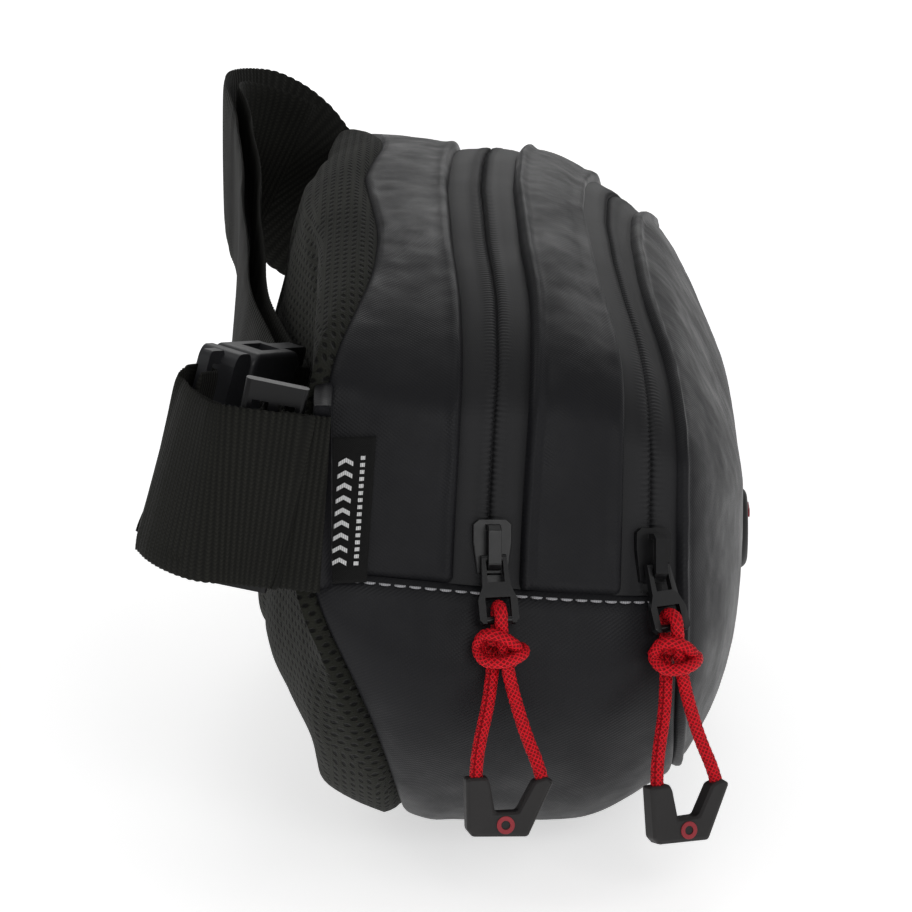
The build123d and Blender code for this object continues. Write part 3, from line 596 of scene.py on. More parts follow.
def panel(name, back, front, columns, edges, crown, count, seed, node):
    """A sewn panel between two seams, mirrored from one end of the bag to the other.

    columns runs from a seam or the underside to the crest; edges are the profiles at the back, at
    the front and where the columns start.
    """
    back_edge, front_edge, start_edge = edges
    width = np.abs(seam_depth(back, WIDTH_AT) - (seam_depth(front, WIDTH_AT) if front else PAST_NOSE))
    shares = edge_steps(width, count, front is not None)
    row_back = row_at(seam_depth(back, columns))
    row_front = row_at(seam_depth(front, columns)) if front else np.ones_like(columns)
    rows = row_back[None] + (row_front - row_back)[None] * shares[:, None]
    points = end_to_end(rows, columns)
    out = grid_normals(points, MIDDLE)
    across, along = spread(points, 0), spread(points, 1)
    from_back, from_front = across, across[-1:] - across
    from_start = np.minimum(along, along[:, -1:] - along)
    lift = np.interp(from_back, *back_edge) + (np.interp(from_front, *front_edge) if front else 0)
    lift = lift + np.interp(from_start, *start_edge)
    share = np.clip(across / np.maximum(across[-1:], 1e-6), 0, 1)
    lift += crown * np.sin(pi * share) ** 0.8 * smooth_step(from_start, 0, 25)
    lift += 0.9 * cloth_noise(points, FOLD_SIZE, seed) * smooth_step(from_back, 2, 14)
    edge = np.minimum(from_back, from_front) if front else from_back
    edge = np.minimum(edge, from_start) if start_edge is not FLAT else edge
    pucker = cloth_noise(points * np.array([1, 1, 1.2]), PUCKER_SIZE, seed + 5)
    pucker = pucker * np.exp(-edge / 5.0) * smooth_step(edge, 0.8, 3)
    lift += 0.5 * pucker + 0.1 * cloth_noise(points, CREASE_SIZE, seed + 9) * smooth_step(edge, 2, 6)
    points = points + out * lift[..., None]
    uv = np.stack([along, across], -1)
    faces = grid_faces(*points.shape[:2])
    piece = mesh_object(name, points, faces, uv, FABRIC)
    dress(piece, [node])


def dress(piece, replaced):
    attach(piece, "bag")
    if replaced:
        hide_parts(*replaced)


HIGH = COLUMN[COLUMN >= 0]
LOW = COLUMN[COLUMN <= 0]
panel("back_gusset_cloth", PAD_SEAM, MAIN_BACK, HIGH, (TUCK, LIP, TUCK), 0.9, 16, 11, "back_gusset")
panel("mid_gusset_cloth", MAIN_FRONT, FRONT_BACK, HIGH, (FOLD, LIP, TUCK), 1.0, 14, 23, "mid_gusset")
panel("front_cloth", FRONT_FRONT, None, COLUMN, (FOLD, FLAT, FLAT), 0.4, 60, 37, "front_panel")
panel("bottom_cloth", PAD_SEAM, FRONT_FRONT, LOW[::-1], (TUCK, TUCK, TUCK), 0.4, 40, 51, "bottom_panel")

ZIP_STEPS, ZIP_SUNK = 900, 1.1


def zip_strip(name, back, front, node_tapes, node_coils):
    """Two woven tapes that meet over their coils, with ridges beside the slit and its teeth."""
    columns = np.linspace(0, 1, ZIP_STEPS)
    middle_depth = (seam_depth(back, columns) + seam_depth(front, columns)) / 2
    half = np.array([8.4, 7.2, 5.6, 4.2, 3.2, 2.7, 2.2, 1.7, 1.2, 0.8, 0.45, 0.2, 0.0])
    offsets = np.concatenate([half, -half[::-1][1:]])
    rows = row_at(middle_depth[None] + offsets[:, None])
    points = end_to_end(rows, columns)
    out, along = grid_normals(points, MIDDLE), spread(points, 1)
    side = np.abs(offsets)[:, None]
    half_turn = np.where(offsets > 0, 0.0, pi)[:, None]
    tooth = 0.5 + 0.5 * np.cos(2 * pi * along / COIL_PITCH + half_turn)
    ridge = np.interp(side, [0, 0.2, 0.5, 1.2, 2.4, 3.0, 3.6, 9], [-0.8, -0.5, 0.0, 0.22, 0.2, 0.06, 0, 0])
    teeth = np.interp(side, [0, 0.2, 0.5, 1.0, 2.4, 2.9], [0.6, 0.65, 0.34, 0.1, 0.07, 0])
    lift = -ZIP_SUNK + ridge + teeth * (tooth - 0.5) - 0.5 * smooth_step(side, 6.5, 8.4)
    lift = lift + 0.25 * cloth_noise(points, 22.0, 71)
    points = points + out * lift[..., None]
    uv = np.stack([along, np.broadcast_to(offsets[:, None], along.shape)], -1)
    faces = grid_faces(*points.shape[:2])
    piece = mesh_object(name, points, faces, uv, TAPE_CLOTH)
    dress(piece, [node_tapes, node_coils])


zip_strip("main_zip_woven", MAIN_BACK, MAIN_FRONT, "main_zip_tapes", "main_zip_coils")
zip_strip("front_zip_woven", FRONT_BACK, FRONT_FRONT, "front_zip_tapes", "front_zip_coils")


# ---------------- back pad
# The foam's outlines by depth: Y, half width, crest, underside.
LUMBAR_FOAM = [
    (42.0, 92, 142, 20),
    (46.0, 70, 141, 25),
    (51.0, 58, 124, 33),
    (56.0, 48, 101, 43),
    (60.0, 34, 84, 54),
]
HIP_FOAM = [(42.0, 128, 106, 19), (47.5, 110, 86, 26), (54.0, 86, 72, 36), (58.0, 60, 66, 44)]
FOAM_ROUND = 2.6  # exponent of the foam outlines' round corners
PAD_MIDDLE, PAD_RINGS, PAD_SMOOTHING = 78.0, 84, 14
BOARD_BACK, BOARD_CROWN = 43.0, 1.2
SIDE_STEEP, LOW_STEEP = 3.0, 0.9  # how fast the pad may stand out from its rim
# The pressed channel round the pad: its half sizes and height, and how wide it is.
CHANNEL_LONG, CHANNEL_TALL, CHANNEL_LEVEL, CHANNEL_WIDE = 84.0, 56.0, 82.0, 0.0012
# The pad's rim, from under the panel outwards: growth off the seam and step back from it.
PAD_RIM = [(-1.6, -1.5), (-0.7, 0.0), (0.3, 0.9), (1.1, 2.2), (1.6, 3.6)]


def foam_depth(outlines, x, z):
    """Depth Y of a foam block's back at each point, from its nested outlines."""
    sizes = []
    for _, wide, crest, floor in outlines:
        across = np.abs(x / (wide - (z - WIDTH_LEVEL) * tan(radians(SIDE_LEAN))))
        upward = np.abs((z - (crest + floor) / 2) / ((crest - floor) / 2))
        sizes.append((across**FOAM_ROUND + upward**FOAM_ROUND) ** (1 / FOAM_ROUND))
    depth = np.full(x.shape, outlines[0][0] * 1.0)
    for (y0, *_), (y1, *_), s0, s1 in zip(outlines, outlines[1:], sizes, sizes[1:]):
        share = np.clip((1 - s0) / np.maximum(s1 - s0, 1e-6), 0, 1)
        depth = np.where(s0 < 1, y0 + share * (y1 - y0), depth)
    return depth


def back_pad():
    loop = np.concatenate([COLUMN, COLUMN[::-1][1:-1]])
    side = np.concatenate([-np.ones(COLUMNS), np.ones(COLUMNS - 2)])
    seam = seam_depth(PAD_SEAM, loop)
    edge = form_points(row_at(seam), loop)
    edge[:, 0] *= side
    centre = np.array([0, 0, PAD_MIDDLE])
    plan = edge - centre
    plan[:, 1] = 0
    outward = plan / np.maximum(np.linalg.norm(plan, axis=1, keepdims=True), 1e-6)
    rings = []
    for grow, step in PAD_RIM:
        ring = edge + outward * grow
        ring[:, 1] = seam + step
        rings.append(ring)
    rim = rings[-1].copy()
    span = np.hypot(rim[:, 0], rim[:, 2] - centre[2])
    downward = np.clip((PAD_MIDDLE - rim[:, 2]) / span, 0, 1)
    steep = SIDE_STEEP - (SIDE_STEEP - LOW_STEEP) * downward**2
    radial = np.linspace(1, 0, PAD_RINGS)[1:] ** 0.9
    for r in radial:
        plane = centre + (rim - centre) * np.array([r, 0, r])
        board = BOARD_BACK + BOARD_CROWN * sqrt(max(1 - r * r, 0))
        furthest = rim[:, 1] + steep * span * (1 - r)
        foam = np.maximum(*(foam_depth(f, plane[:, 0], plane[:, 2]) for f in (LUMBAR_FOAM, HIP_FOAM)))
        plane[:, 1] = np.minimum(np.maximum(board, foam), furthest)
        rings.append(plane)
    points = np.array(rings)
    depth = points[..., 1].copy()
    first = len(PAD_RIM)
    for _ in range(PAD_SMOOTHING):
        depth = (np.roll(depth, 1, 1) + 2 * depth + np.roll(depth, -1, 1)) / 4
        depth[first:-1] = (depth[first - 1 : -2] + 2 * depth[first:-1] + depth[first + 1 :]) / 4
    points[first:, :, 1] = depth[first:]
    lowest = np.maximum(rim[:, 1][None], points[first:, :, 1])
    points[first:, :, 1] = np.where(radial[:, None] > 0.9, lowest, points[first:, :, 1])
    out = grid_normals(np.concatenate([points, points[:, :1]], 1), MIDDLE)[:, :-1]
    x, z = points[..., 0], points[..., 2]
    ring_at = np.hypot(x / CHANNEL_LONG, (z - CHANNEL_LEVEL) / CHANNEL_TALL)
    channel = np.exp(-((ring_at - 0.97) ** 2) / CHANNEL_WIDE)
    spine = np.exp(-((x / 5.0) ** 2)) * smooth_step(points[..., 1], 46, 54)
    uneven = 0.5 * cloth_noise(points, 30.0, 83) + 0.18 * cloth_noise(points, 8.0, 89)
    lift = uneven - channel - 1.4 * spine
    lift *= smooth_step(np.arange(len(points))[:, None] * 1.0, 0, 6)
    points = points + out * lift[..., None]
    y = points[..., 1]
    level = z - np.clip((z - PAD_MIDDLE) / 40, -1, 1) * y
    uv = np.stack([x - np.clip(x / 40, -1, 1) * y, level], -1)
    faces = grid_faces(*points.shape[:2], close_columns=True, flip=True)
    piece = mesh_object("back_pad_cover", points, faces, uv, MESH_CLOTH)
    dress(piece, ["pad_board", "lumbar_pad"])


back_pad()

# ---------------- belt
WEB_UP = np.array([0, -sin(radians(12)), cos(radians(12))])
BAR_MIDDLE = np.array([-114.5, 73.0, 101.0])
BUCKLE_TURN, BUCKLE_DROP = radians(20), radians(12)
BUCKLE_ALONG = np.array(
    [cos(BUCKLE_TURN) * cos(BUCKLE_DROP), -sin(BUCKLE_TURN) * cos(BUCKLE_DROP), -sin(BUCKLE_DROP)]
)
BUCKLE_UP = WEB_UP - BUCKLE_ALONG * WEB_UP.dot(BUCKLE_ALONG)
BUCKLE_UP /= np.linalg.norm(BUCKLE_UP)
BUCKLE_OUT = np.cross(BUCKLE_UP, BUCKLE_ALONG)
WEB_GRIP, LADDER_X, LADDER_GRIP, LADDER_END = 2.9, 50.3, 3.5, 57.0


def on_buckle(along, out):
    return tuple(BAR_MIDDLE + BUCKLE_ALONG * along + BUCKLE_OUT * out)


def turn_on_buckle(along, radius, first, last):
    angles = np.radians(np.linspace(first, last, 7))
    return [on_buckle(along + radius * cos(a), radius * sin(a)) for a in angles]


# Each run of a belt: its first and last width direction, and its centreline's points.
NEAR_THREADED = [
    (-138.3, 38.5, 95.4), (-138.3, 44.0, 96.1), (-138.3, 51.8, 97.2), (-137.2, 53.3, 97.4),
    (-134.8, 53.5, 97.5), (-132.3, 53.9, 97.6), (-131.7, 55.75, 97.7), (-132.3, 57.6, 97.9),
    (-134.8, 58.0, 98.0), (-137.2, 58.2, 98.0),
]
NEAR_LOOP = [
    (-138.3, 59.8, 98.1), (-138.2, 64.8, 98.5), (-136.2, 68.4, 98.9), (-132.8, 71.9, 99.5),
    (-128.2, 74.8, 100.1), (-123.4, 76.6, 100.6), (-118.8, 77.2, 100.9),
]
NEAR_TURN = turn_on_buckle(1.5, WEB_GRIP, 90, -90)
NEAR_TURN += [on_buckle(-3.0, -WEB_GRIP), on_buckle(-8.0, -WEB_GRIP - 0.3)]
NEAR_BELT = [
    (WEB_UP, WEB_UP, NEAR_THREADED),
    (WEB_UP, BUCKLE_UP, NEAR_LOOP),
    (BUCKLE_UP, BUCKLE_UP, NEAR_TURN),
]

UPRIGHT = np.array([0.0, 0, 1])
FAR_SEWN = [
    (138.3, 38.5, 97.3), (138.3, 46.0, 98.6), (137.6, 52.0, 104.0),
    (135.0, 56.8, 112.5), (130.6, 61.5, 117.4),
]
FAR_LOOP = [
    (124.5, 65.8, 119.4), (116.5, 69.2, 120.6), (107.5, 70.6, 121.0),
    (98.0, 70.0, 120.5), (89.0, 68.4, 118.3), (79.0, 66.6, 116.0),
]
FAR_BACK = [
    (60.0, 65.2, 112.6), (30.0, 64.6, 107.0), (0.0, 64.2, 101.2), (-26.0, 63.2, 95.8), (-44.0, 60.8, 92.2),
]
FAR_TURN = [on_buckle(LADDER_END, LADDER_GRIP)] + turn_on_buckle(LADDER_X, LADDER_GRIP, 90, 270)
FAR_TURN += [on_buckle(LADDER_END, -LADDER_GRIP)]
TAIL_BACK = [
    (-48.0, 55.9, 91.2), (-28.0, 59.4, 95.6), (0.0, 60.9, 101.2),
    (30.0, 61.3, 107.0), (60.0, 61.9, 112.6), (79.0, 63.2, 116.0),
]
TAIL_END = [
    (91.0, 65.2, 118.6), (101.0, 67.0, 119.9), (109.0, 66.0, 119.0),
    (114.6, 62.0, 116.4), (117.2, 56.0, 113.0),
]
FAR_BELT = [
    (WEB_UP, UPRIGHT, FAR_SEWN),
    (UPRIGHT, UPRIGHT, FAR_LOOP),
    (UPRIGHT, BUCKLE_UP, FAR_BACK),
    (BUCKLE_UP, BUCKLE_UP, FAR_TURN),
    (BUCKLE_UP, UPRIGHT, TAIL_BACK),
    (UPRIGHT, UPRIGHT, TAIL_END),
]
# The belt's second layer, which lies over the adjuster and follows the loop.
COVER_FLAT = [
    (-136.6, 46.6, 96.4), (-138.6, 46.9, 96.4), (-139.8, 48.0, 96.7), (-140.0, 51.5, 97.2),
    (-140.0, 56.0, 97.8), (-139.8, 60.5, 98.2), (-138.9, 65.4, 98.5),
]
COVER_LOOP = [(-136.6, 69.0, 98.9), (-132.9, 72.3, 99.5), (-128.2, 75.0, 100.1), (-123.4, 76.7, 100.6)]
COVER_BELT = [(WEB_UP, WEB_UP, COVER_FLAT), (WEB_UP, BUCKLE_UP, COVER_LOOP)]
WEB_HALF, WEB_HALF_THICK = 20, 0.6048
# Rows of the webbing's mesh, outwards from the middle of its width.
WEB_ROWS = [0, 4, 8, 12, 15, 16.6, 17.8, 18.8, 19.5, WEB_HALF]
RIB_TALL, RIB_GROUP, SWAY_LENGTH = 0.17, 16.0, 47.0
SEWN_LEVEL = 97.0


def belt(name, runs, per_rib, wave, seed, cut=None):
    """Woven webbing along its centreline: ribs across its width and scalloped edges, as a closed tube."""
    route, ups = [], []
    for first_up, last_up, run in runs:
        route += run
        ups += [first_up + (last_up - first_up) * share for share in np.linspace(0, 1, len(run))]
    knots = reach_of(np.array(route))
    line, reach = smooth_line(route, RIB / per_rib)
    share = reach * knots[-1] / reach[-1]
    width_way = np.stack([np.interp(share, knots, np.array(ups)[:, k]) for k in range(3)], 1)
    forward = unit(np.gradient(line, axis=0))
    out = unit(np.cross(forward, width_way))
    up = np.cross(out, forward)
    wide = np.array([-h for h in WEB_ROWS[:0:-1]] + WEB_ROWS)
    thick = WEB_HALF_THICK * np.clip(1 - (np.abs(wide) / WEB_HALF) ** 14, 0.12, 1)
    rib = np.abs(np.sin(pi * reach / RIB))[:, None]
    group = 0.6 + 0.4 * np.sin(2 * pi * reach / RIB_GROUP + 0.7)[:, None]
    scallop = 1 - 0.012 * (1 - rib)
    sway = wave * np.sin(2 * pi * reach / SWAY_LENGTH + seed)[:, None]
    faces_of = []
    for sign in (1, -1):
        height = sign * (thick[None] + RIB_TALL * (rib - 0.5) * group)
        across = wide[None] * scallop
        if sign < 0:
            height, across = height[:, ::-1], across[:, ::-1]
        swing = height + sway * (across / WEB_HALF) ** 2
        faces_of.append(line[:, None] + up[:, None] * across[..., None] + out[:, None] * swing[..., None])
    points = np.concatenate(faces_of, axis=1)
    if cut:
        limit = cut[0] + (points[..., 2] - SEWN_LEVEL) * cut[1]
        sewn = points[..., 1] < limit
        points[..., 1] = np.where(sewn, limit, points[..., 1])
        points[..., 0] += np.where(sewn, 0.4, 0.0)
    columns = points.shape[1]
    lateral = np.concatenate([wide, wide[::-1]])
    uv = np.stack(np.broadcast_arrays(reach[:, None], lateral[None]), -1)
    faces = grid_faces(len(line), columns, close_columns=True) + end_caps(len(line), columns)
    return mesh_object(name, points, faces, uv, WEB_CLOTH)


SEWN_END = (40.2, -0.07)  # depth of the near belt's sewn end, and its lean
near_belt = belt("near_belt_woven", NEAR_BELT, 5, 0.0, 1, SEWN_END)
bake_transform(near_belt)
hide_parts("near_webbing")
dress(belt("far_belt_woven", FAR_BELT, 3, 0.35, 2), ["far_webbing"])
cover_belt = belt("near_belt_cover", COVER_BELT, 5, 0.0, 1)
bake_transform(cover_belt)


# ---------------- cords
STRANDS, PLAIT_PITCH = 6, 1.67  # strands laid each way round the cord
CORD_RADIUS, CORD_PLAIT, KNOT_RADIUS, KNOT_PLAIT = 1.42, 0.16, 1.38, 0.15


def braided_tube(line, radius, sides, name, plait):
    """A braided tube along a line of points, in millimetres."""
    forward = unit(np.gradient(line, axis=0))
    side = np.cross(forward[0], [0.3, 1, 0.2])
    frames = []
    for f in forward:
        side = side - f * side.dot(f)
        side /= np.linalg.norm(side)
        frames.append((side.copy(), np.cross(f, side)))
    reach = reach_of(line)
    angle = np.linspace(0, 2 * pi, sides, endpoint=False)
    around = angle[None] * STRANDS
    one = np.cos(2 * pi * reach[:, None] / PLAIT_PITCH + around)
    two = np.cos(2 * pi * reach[:, None] / PLAIT_PITCH - around)
    height = radius + plait * (np.maximum(one, two) - 0.5)
    u, v = (np.array([f[k] for f in frames])[:, None] for k in (0, 1))
    ring = np.cos(angle)[None, :, None] * u + np.sin(angle)[None, :, None] * v
    points = line[:, None] + ring * height[..., None]
    uv = np.stack(np.broadcast_arrays(reach[:, None], (angle * radius)[None]), -1)
    faces = grid_faces(len(line), sides, close_columns=True) + end_caps(len(line), sides)
    return mesh_object(name, points, faces, uv, CORD_CLOTH)


def nurbs_line(points):
    """Points of a smooth NURBS line, in metres, with those points as its controls."""
    data = bpy.data.curves.new("route", "CURVE")
    data.dimensions, data.resolution_u = "3D", 24
    spline = data.splines.new("NURBS")
    spline.points.add(len(points) - 1)
    for control, place in zip(spline.points, points):
        control.co = (*place, 1)
    spline.order_u, spline.use_endpoint_u = 3, True
    holder = bpy.data.objects.new("route", data)
    bpy.context.scene.collection.objects.link(holder)
    bpy.context.view_layer.update()
    mesh = bpy.data.meshes.new_from_object(holder.evaluated_get(bpy.context.evaluated_depsgraph_get()))
    line = np.array([v.co for v in mesh.vertices])
    bpy.data.objects.remove(holder)
    bpy.data.meshes.remove(mesh)
    return line


# The cord's route: across, off the bag and up from the tab's lower bar.
CORD_ROUTE = [
    (-6.0, 0.0, -37.2), (-6.0, 0.0, -33.0), (-4.9, 0.0, -26.5), (-2.9, -0.3, -19.0), (-1.8, -0.8, -12.5),
    (-1.2, -1.4, -8.5), (-0.3, -2.6, -4.5), (0.0, -3.0, -1.5), (0.0, -3.0, 3.0), (0.0, 3.0, 3.0),
    (0.0, 3.0, -1.5), (0.3, 2.6, -4.5), (1.2, 1.4, -8.5), (1.8, 0.8, -12.5), (3.4, 0.3, -19.0),
    (5.6, 0.0, -26.5), (8.2, 0.0, -33.0), (9.0, 0.0, -37.2),
]
PULL_LEAN = radians(9)
# The cord wrapped round both its runs, below the tab's bar.
KNOT_ROUTE = [
    (1.2, -0.6, -10.2), (2.9, 0.9, -8.6), (3.2, 2.9, -6.0), (1.0, 4.3, -3.9), (-1.9, 3.7, -2.7),
    (-4.0, 1.5, -3.4), (-4.9, 0.8, -6.2), (-3.7, 3.1, -8.4), (-0.6, 4.6, -8.7), (2.7, 4.3, -8.0),
    (4.9, 1.9, -7.1), (4.8, -1.1, -6.6), (2.3, -3.6, -6.6), (-1.4, -4.0, -6.8), (-3.6, -2.0, -5.4),
    (-2.4, 0.4, -4.2), (0.2, 0.6, -4.8),
]
# Each zip's lower bar, its level direction and its pull's cord length.
LOWER_BARS = {
    "main": ((-133.767227, 2.281042, 68.253871), (0.1436968, -0.9896218, 0), 0.0862),
    "front": ((-124.419105, -35.941254, 63.700769), (0.4194125, -0.9077957, 0), 0.0862),
}


def even_line(line, spacing):
    reach = reach_of(line)
    at = np.linspace(0, reach[-1], int(round(reach[-1] / spacing)) + 1)
    return np.stack([np.interp(at, reach, line[:, k]) for k in range(3)], 1)


def pull_place(bar, across, a, o, u):
    """A point of the pull, measured across, off the bag and up from the tab's lower bar."""
    level_out = np.cross(across, [0, 0, 1])
    off = level_out * cos(PULL_LEAN) + np.array([0, 0, sin(PULL_LEAN)])
    up = np.array([0, 0, cos(PULL_LEAN)]) - level_out * sin(PULL_LEAN)
    return bar + across * a + off * o + up * u


for zip_name, (bar, across, cord_length) in LOWER_BARS.items():
    bar, across = np.array(bar), np.array(across)
    route = np.array([pull_place(bar, across, *p) for p in CORD_ROUTE]) * MM
    line = even_line(nurbs_line(route), 0.22 * MM)
    cord = braided_tube(line / MM, CORD_RADIUS, 24, f"{zip_name}_cord_braid", CORD_PLAIT)
    knot_line, _ = smooth_line([pull_place(bar, across, *p) for p in KNOT_ROUTE], 0.25)
    knot = braided_tube(knot_line, KNOT_RADIUS, 20, f"{zip_name}_knot_braid", KNOT_PLAIT)
    for piece, nodes in ((cord, [f"{zip_name}_pull_cord"]), (knot, [f"{zip_name}_pull_knot"])):
        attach(piece, f"{zip_name}_pull")
        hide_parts(*nodes)


# ---------------- stitching
STITCH_LONG, STITCH_GAP, STITCH_RADIUS, STITCH_PROUD = 2.6, 0.8, 0.3, 0.25
STITCH_SIDES, STITCH_STEPS = 8, 7
BELOW_SEAM = -0.009  # the stitches' column


def seam_run(sign):
    """The line of stitches just below the seam at one end of the bag, from the pad to the front zip."""
    depth = np.linspace(42.5, -36.5, 90)
    points = form_points(row_at(depth), np.full(90, BELOW_SEAM))
    points[:, 0] *= sign
    out = unit(np.cross(np.gradient(points, axis=0), [0, 0, 1.0]))
    out *= np.sign(out[:, :1] * sign)
    return points + out * STITCH_PROUD, out


def stitches(name, line, out):
    """A row of separate stitches on a line, each a short bent tube whose ends go into the cloth."""
    reach = reach_of(line)
    angle = np.linspace(0, 2 * pi, STITCH_SIDES, endpoint=False)
    bend = np.sin(np.linspace(0, pi, STITCH_STEPS)) ** 0.5
    tube_faces = grid_faces(STITCH_STEPS, STITCH_SIDES, close_columns=True)
    tube_faces += end_caps(STITCH_STEPS, STITCH_SIDES)
    points, faces, uvs = [], [], []
    for start in np.arange(0.3, reach[-1] - STITCH_LONG, STITCH_LONG + STITCH_GAP):
        at = np.linspace(start, start + STITCH_LONG, STITCH_STEPS)
        mid = np.stack([np.interp(at, reach, line[:, k]) for k in range(3)], 1)
        normal = np.stack([np.interp(at, reach, out[:, k]) for k in range(3)], 1)
        side = np.cross(unit(np.gradient(mid, axis=0)), normal)
        mid = mid + normal * ((bend - 1) * 1.4 * STITCH_RADIUS)[:, None]
        ring = np.cos(angle)[None, :, None] * side[:, None] + np.sin(angle)[None, :, None] * normal[:, None]
        base = sum(len(p) for p in points)
        tubes = mid[:, None] + ring * (STITCH_RADIUS * (0.55 + 0.45 * bend))[:, None, None]
        points.append(tubes.reshape(-1, 3))
        uvs.append(np.stack(np.broadcast_arrays(at[:, None], angle[None]), -1).reshape(-1, 2))
        faces += [tuple(base + k for k in face) for face in tube_faces]
    piece = mesh_object(name, np.vstack(points), faces, np.vstack(uvs), GREY_THREAD)
    dress(piece, [])


stitches("seam_stitches_near", *seam_run(-1))
stitches("seam_stitches_far", *seam_run(1))


# ---------------- label
LABEL_BACK, LABEL_SLANT, LABEL_LEVEL = 3.6, 0.07, 91.0  # its shift and lean towards the pad
LABEL_PROUD, LABEL_THICK, MARK_PROUD = 1.5, 0.5, 0.42
LABEL_COLUMNS, LABEL_ROWS = 14, 40
CHEVRONS, BARS = 9, 16


def side_label():
    """A folded woven strip sewn at the near end, made as a thickened sheet; label_marks adds its bars."""
    low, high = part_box("side_label")
    depth = np.linspace(high.y, low.y, LABEL_COLUMNS) / MM
    height = np.linspace(low.z, high.z, LABEL_ROWS) / MM
    slant = depth[:, None] + LABEL_BACK - (height[None] - LABEL_LEVEL) * LABEL_SLANT
    spot = np.zeros(slant.shape)
    for i, j in np.ndindex(*slant.shape):
        outline = FORM_ROWS[int(round(float(row_at(slant[i, j])) * (len(FORM_DEPTH) - 1)))]
        spot[i, j] = np.interp(height[j], outline[:, 1], outline[:, 0])
    points = np.stack(np.broadcast_arrays(-spot, slant, height[None]), -1)
    out = grid_normals(points, MIDDLE)
    face = points + out * LABEL_PROUD
    uv = np.stack(np.broadcast_arrays(height[None], depth[:, None]), -1)
    faces = grid_faces(LABEL_COLUMNS, LABEL_ROWS)
    piece = mesh_object("side_label_woven", face, faces, uv, LABEL)
    solid = piece.modifiers.new("thick", "SOLIDIFY")
    solid.thickness, solid.offset = LABEL_THICK * MM, 0
    apply_modifiers(piece)
    dress(piece, ["side_label"])
    return face, out


LABEL_FACE, LABEL_OUT = side_label()


def label_marks():
    """Plain woven bars and chevrons on the label, as small raised patches."""
    points, faces, uvs = [], [], []

    def at(share_depth, share_height):
        i, j = share_depth * (LABEL_COLUMNS - 1), share_height * (LABEL_ROWS - 1)
        i0, j0 = min(int(i), LABEL_COLUMNS - 2), min(int(j), LABEL_ROWS - 2)
        a, b = i - i0, j - j0
        face = LABEL_FACE[i0, j0] * (1 - a) * (1 - b) + LABEL_FACE[i0 + 1, j0] * a * (1 - b)
        face = face + LABEL_FACE[i0, j0 + 1] * (1 - a) * b + LABEL_FACE[i0 + 1, j0 + 1] * a * b
        return face + LABEL_OUT[i0, j0] * MARK_PROUD

    def patch(corners):
        base = len(points)
        points.extend(at(*c) for c in corners)
        uvs.extend((c[0] * 10, c[1] * 32) for c in corners)
        faces.append(tuple(range(base, base + len(corners))))

    for k in range(CHEVRONS):
        low = 0.12 + 0.085 * k
        patch([(0.2, low), (0.36, low + 0.028), (0.36, low + 0.058), (0.2, low + 0.03)])
        patch([(0.36, low + 0.028), (0.52, low), (0.52, low + 0.03), (0.36, low + 0.058)])
    for k in range(BARS):
        low = 0.12 + 0.048 * k
        patch([(0.68, low), (0.78, low), (0.78, low + 0.026), (0.68, low + 0.026)])
    piece = mesh_object("label_bars", points, faces, uvs, WHITE_THREAD)
    dress(piece, [])


label_marks()


# ---------------- wing tabs
WING_ROWS, WING_PUFF, WING_SET_BACK = 30, 0.84, 1.8


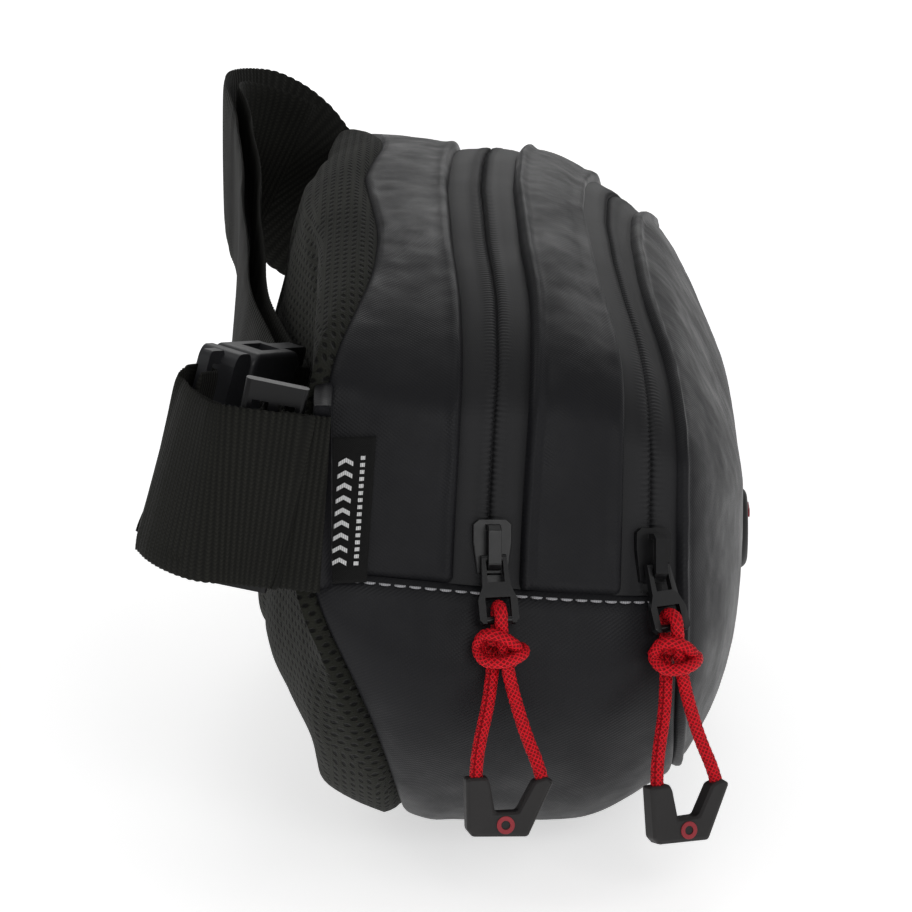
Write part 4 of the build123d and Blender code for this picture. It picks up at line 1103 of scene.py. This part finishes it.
def wing(sign, name, node):
    low, high = (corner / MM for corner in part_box(node))
    height = np.linspace(low.z, high.z, WING_ROWS)
    reach = np.linspace(0, 1, 26)
    inner, outer = min(abs(low.x), abs(high.x)), max(abs(low.x), abs(high.x))
    x = inner + (outer - inner) * reach
    outward = np.sin(pi * np.clip(reach, 0.02, 0.98))[:, None]
    upward = np.sin(pi * np.linspace(0.04, 0.96, WING_ROWS))[None] ** 0.5
    depths = (low.y + WING_SET_BACK, high.y + WING_PUFF * outward * upward)
    front, back = (np.stack(np.broadcast_arrays(sign * x[:, None], y, height[None]), -1) for y in depths)
    points = np.concatenate([front, back[:, ::-1]], axis=1)
    uv = np.stack([points[..., 0] + points[..., 1], points[..., 2]], -1)
    rows, columns = points.shape[:2]
    faces = grid_faces(rows, columns, close_columns=True, flip=sign > 0)
    faces += [tuple(range(columns)), tuple((rows - 1) * columns + k for k in range(columns))[::-1]]
    piece = mesh_object(name, points, faces, uv, FABRIC)
    dress(piece, [node])


wing(-1, "wing_near_cloth", "wing_tab_near")
wing(1, "wing_far_cloth", "wing_tab_far")

# ---------------- CAD pieces that stay
PAINT = {
    METAL: [f"{zip_name}_{part}" for zip_name in LOWER_BARS for part in ("slider", "pull_tab", "zip_stops")],
    PULL_PLASTIC: ["main_pull_end", "front_pull_end"],
    RED: ["main_pull_mark", "front_pull_mark", "badge_accent"],
    ADJUSTER_PLASTIC: ["web_adjuster"],
    BUCKLE_PLASTIC: ["buckle_male", "buckle_female", "buckle_prong_upper", "buckle_prong_lower"],
    RUBBER: ["front_badge"],
    LINING: ["back_panel_lining", "divider_lining"],
}
# Width of the rounded edges, by what a node's name holds.
SOFTENED = {"pull_end": 0.5, "buckle": 0.7, "adjuster": 0.5, "slider": 0.25, "tab": 0.28, "badge": 0.5}
for material, names in PAINT.items():
    for name in names:
        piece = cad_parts[name]
        piece.data.materials.clear()
        piece.data.materials.append(material)
        size = next((v for key, v in SOFTENED.items() if key in name), 0.1)
        weld = piece.modifiers.new("weld", "WELD")
        weld.merge_threshold = 0.00001
        bevel = piece.modifiers.new("edge", "BEVEL")
        bevel.width, bevel.segments, bevel.angle_limit = size * MM, 3, radians(28)
        bevel.harden_normals = True

# ---------------- floor
FLOOR_HALF = 6000.0
corners = [(x * FLOOR_HALF, y * FLOOR_HALF, 0) for x, y in ((-1, -1), (1, -1), (1, 1), (-1, 1))]
floor = mesh_object("floor", corners, [(0, 1, 2, 3)], [(0, 0), (1, 0), (1, 1), (0, 1)], floor_paint())
floor.location.z = -0.0006
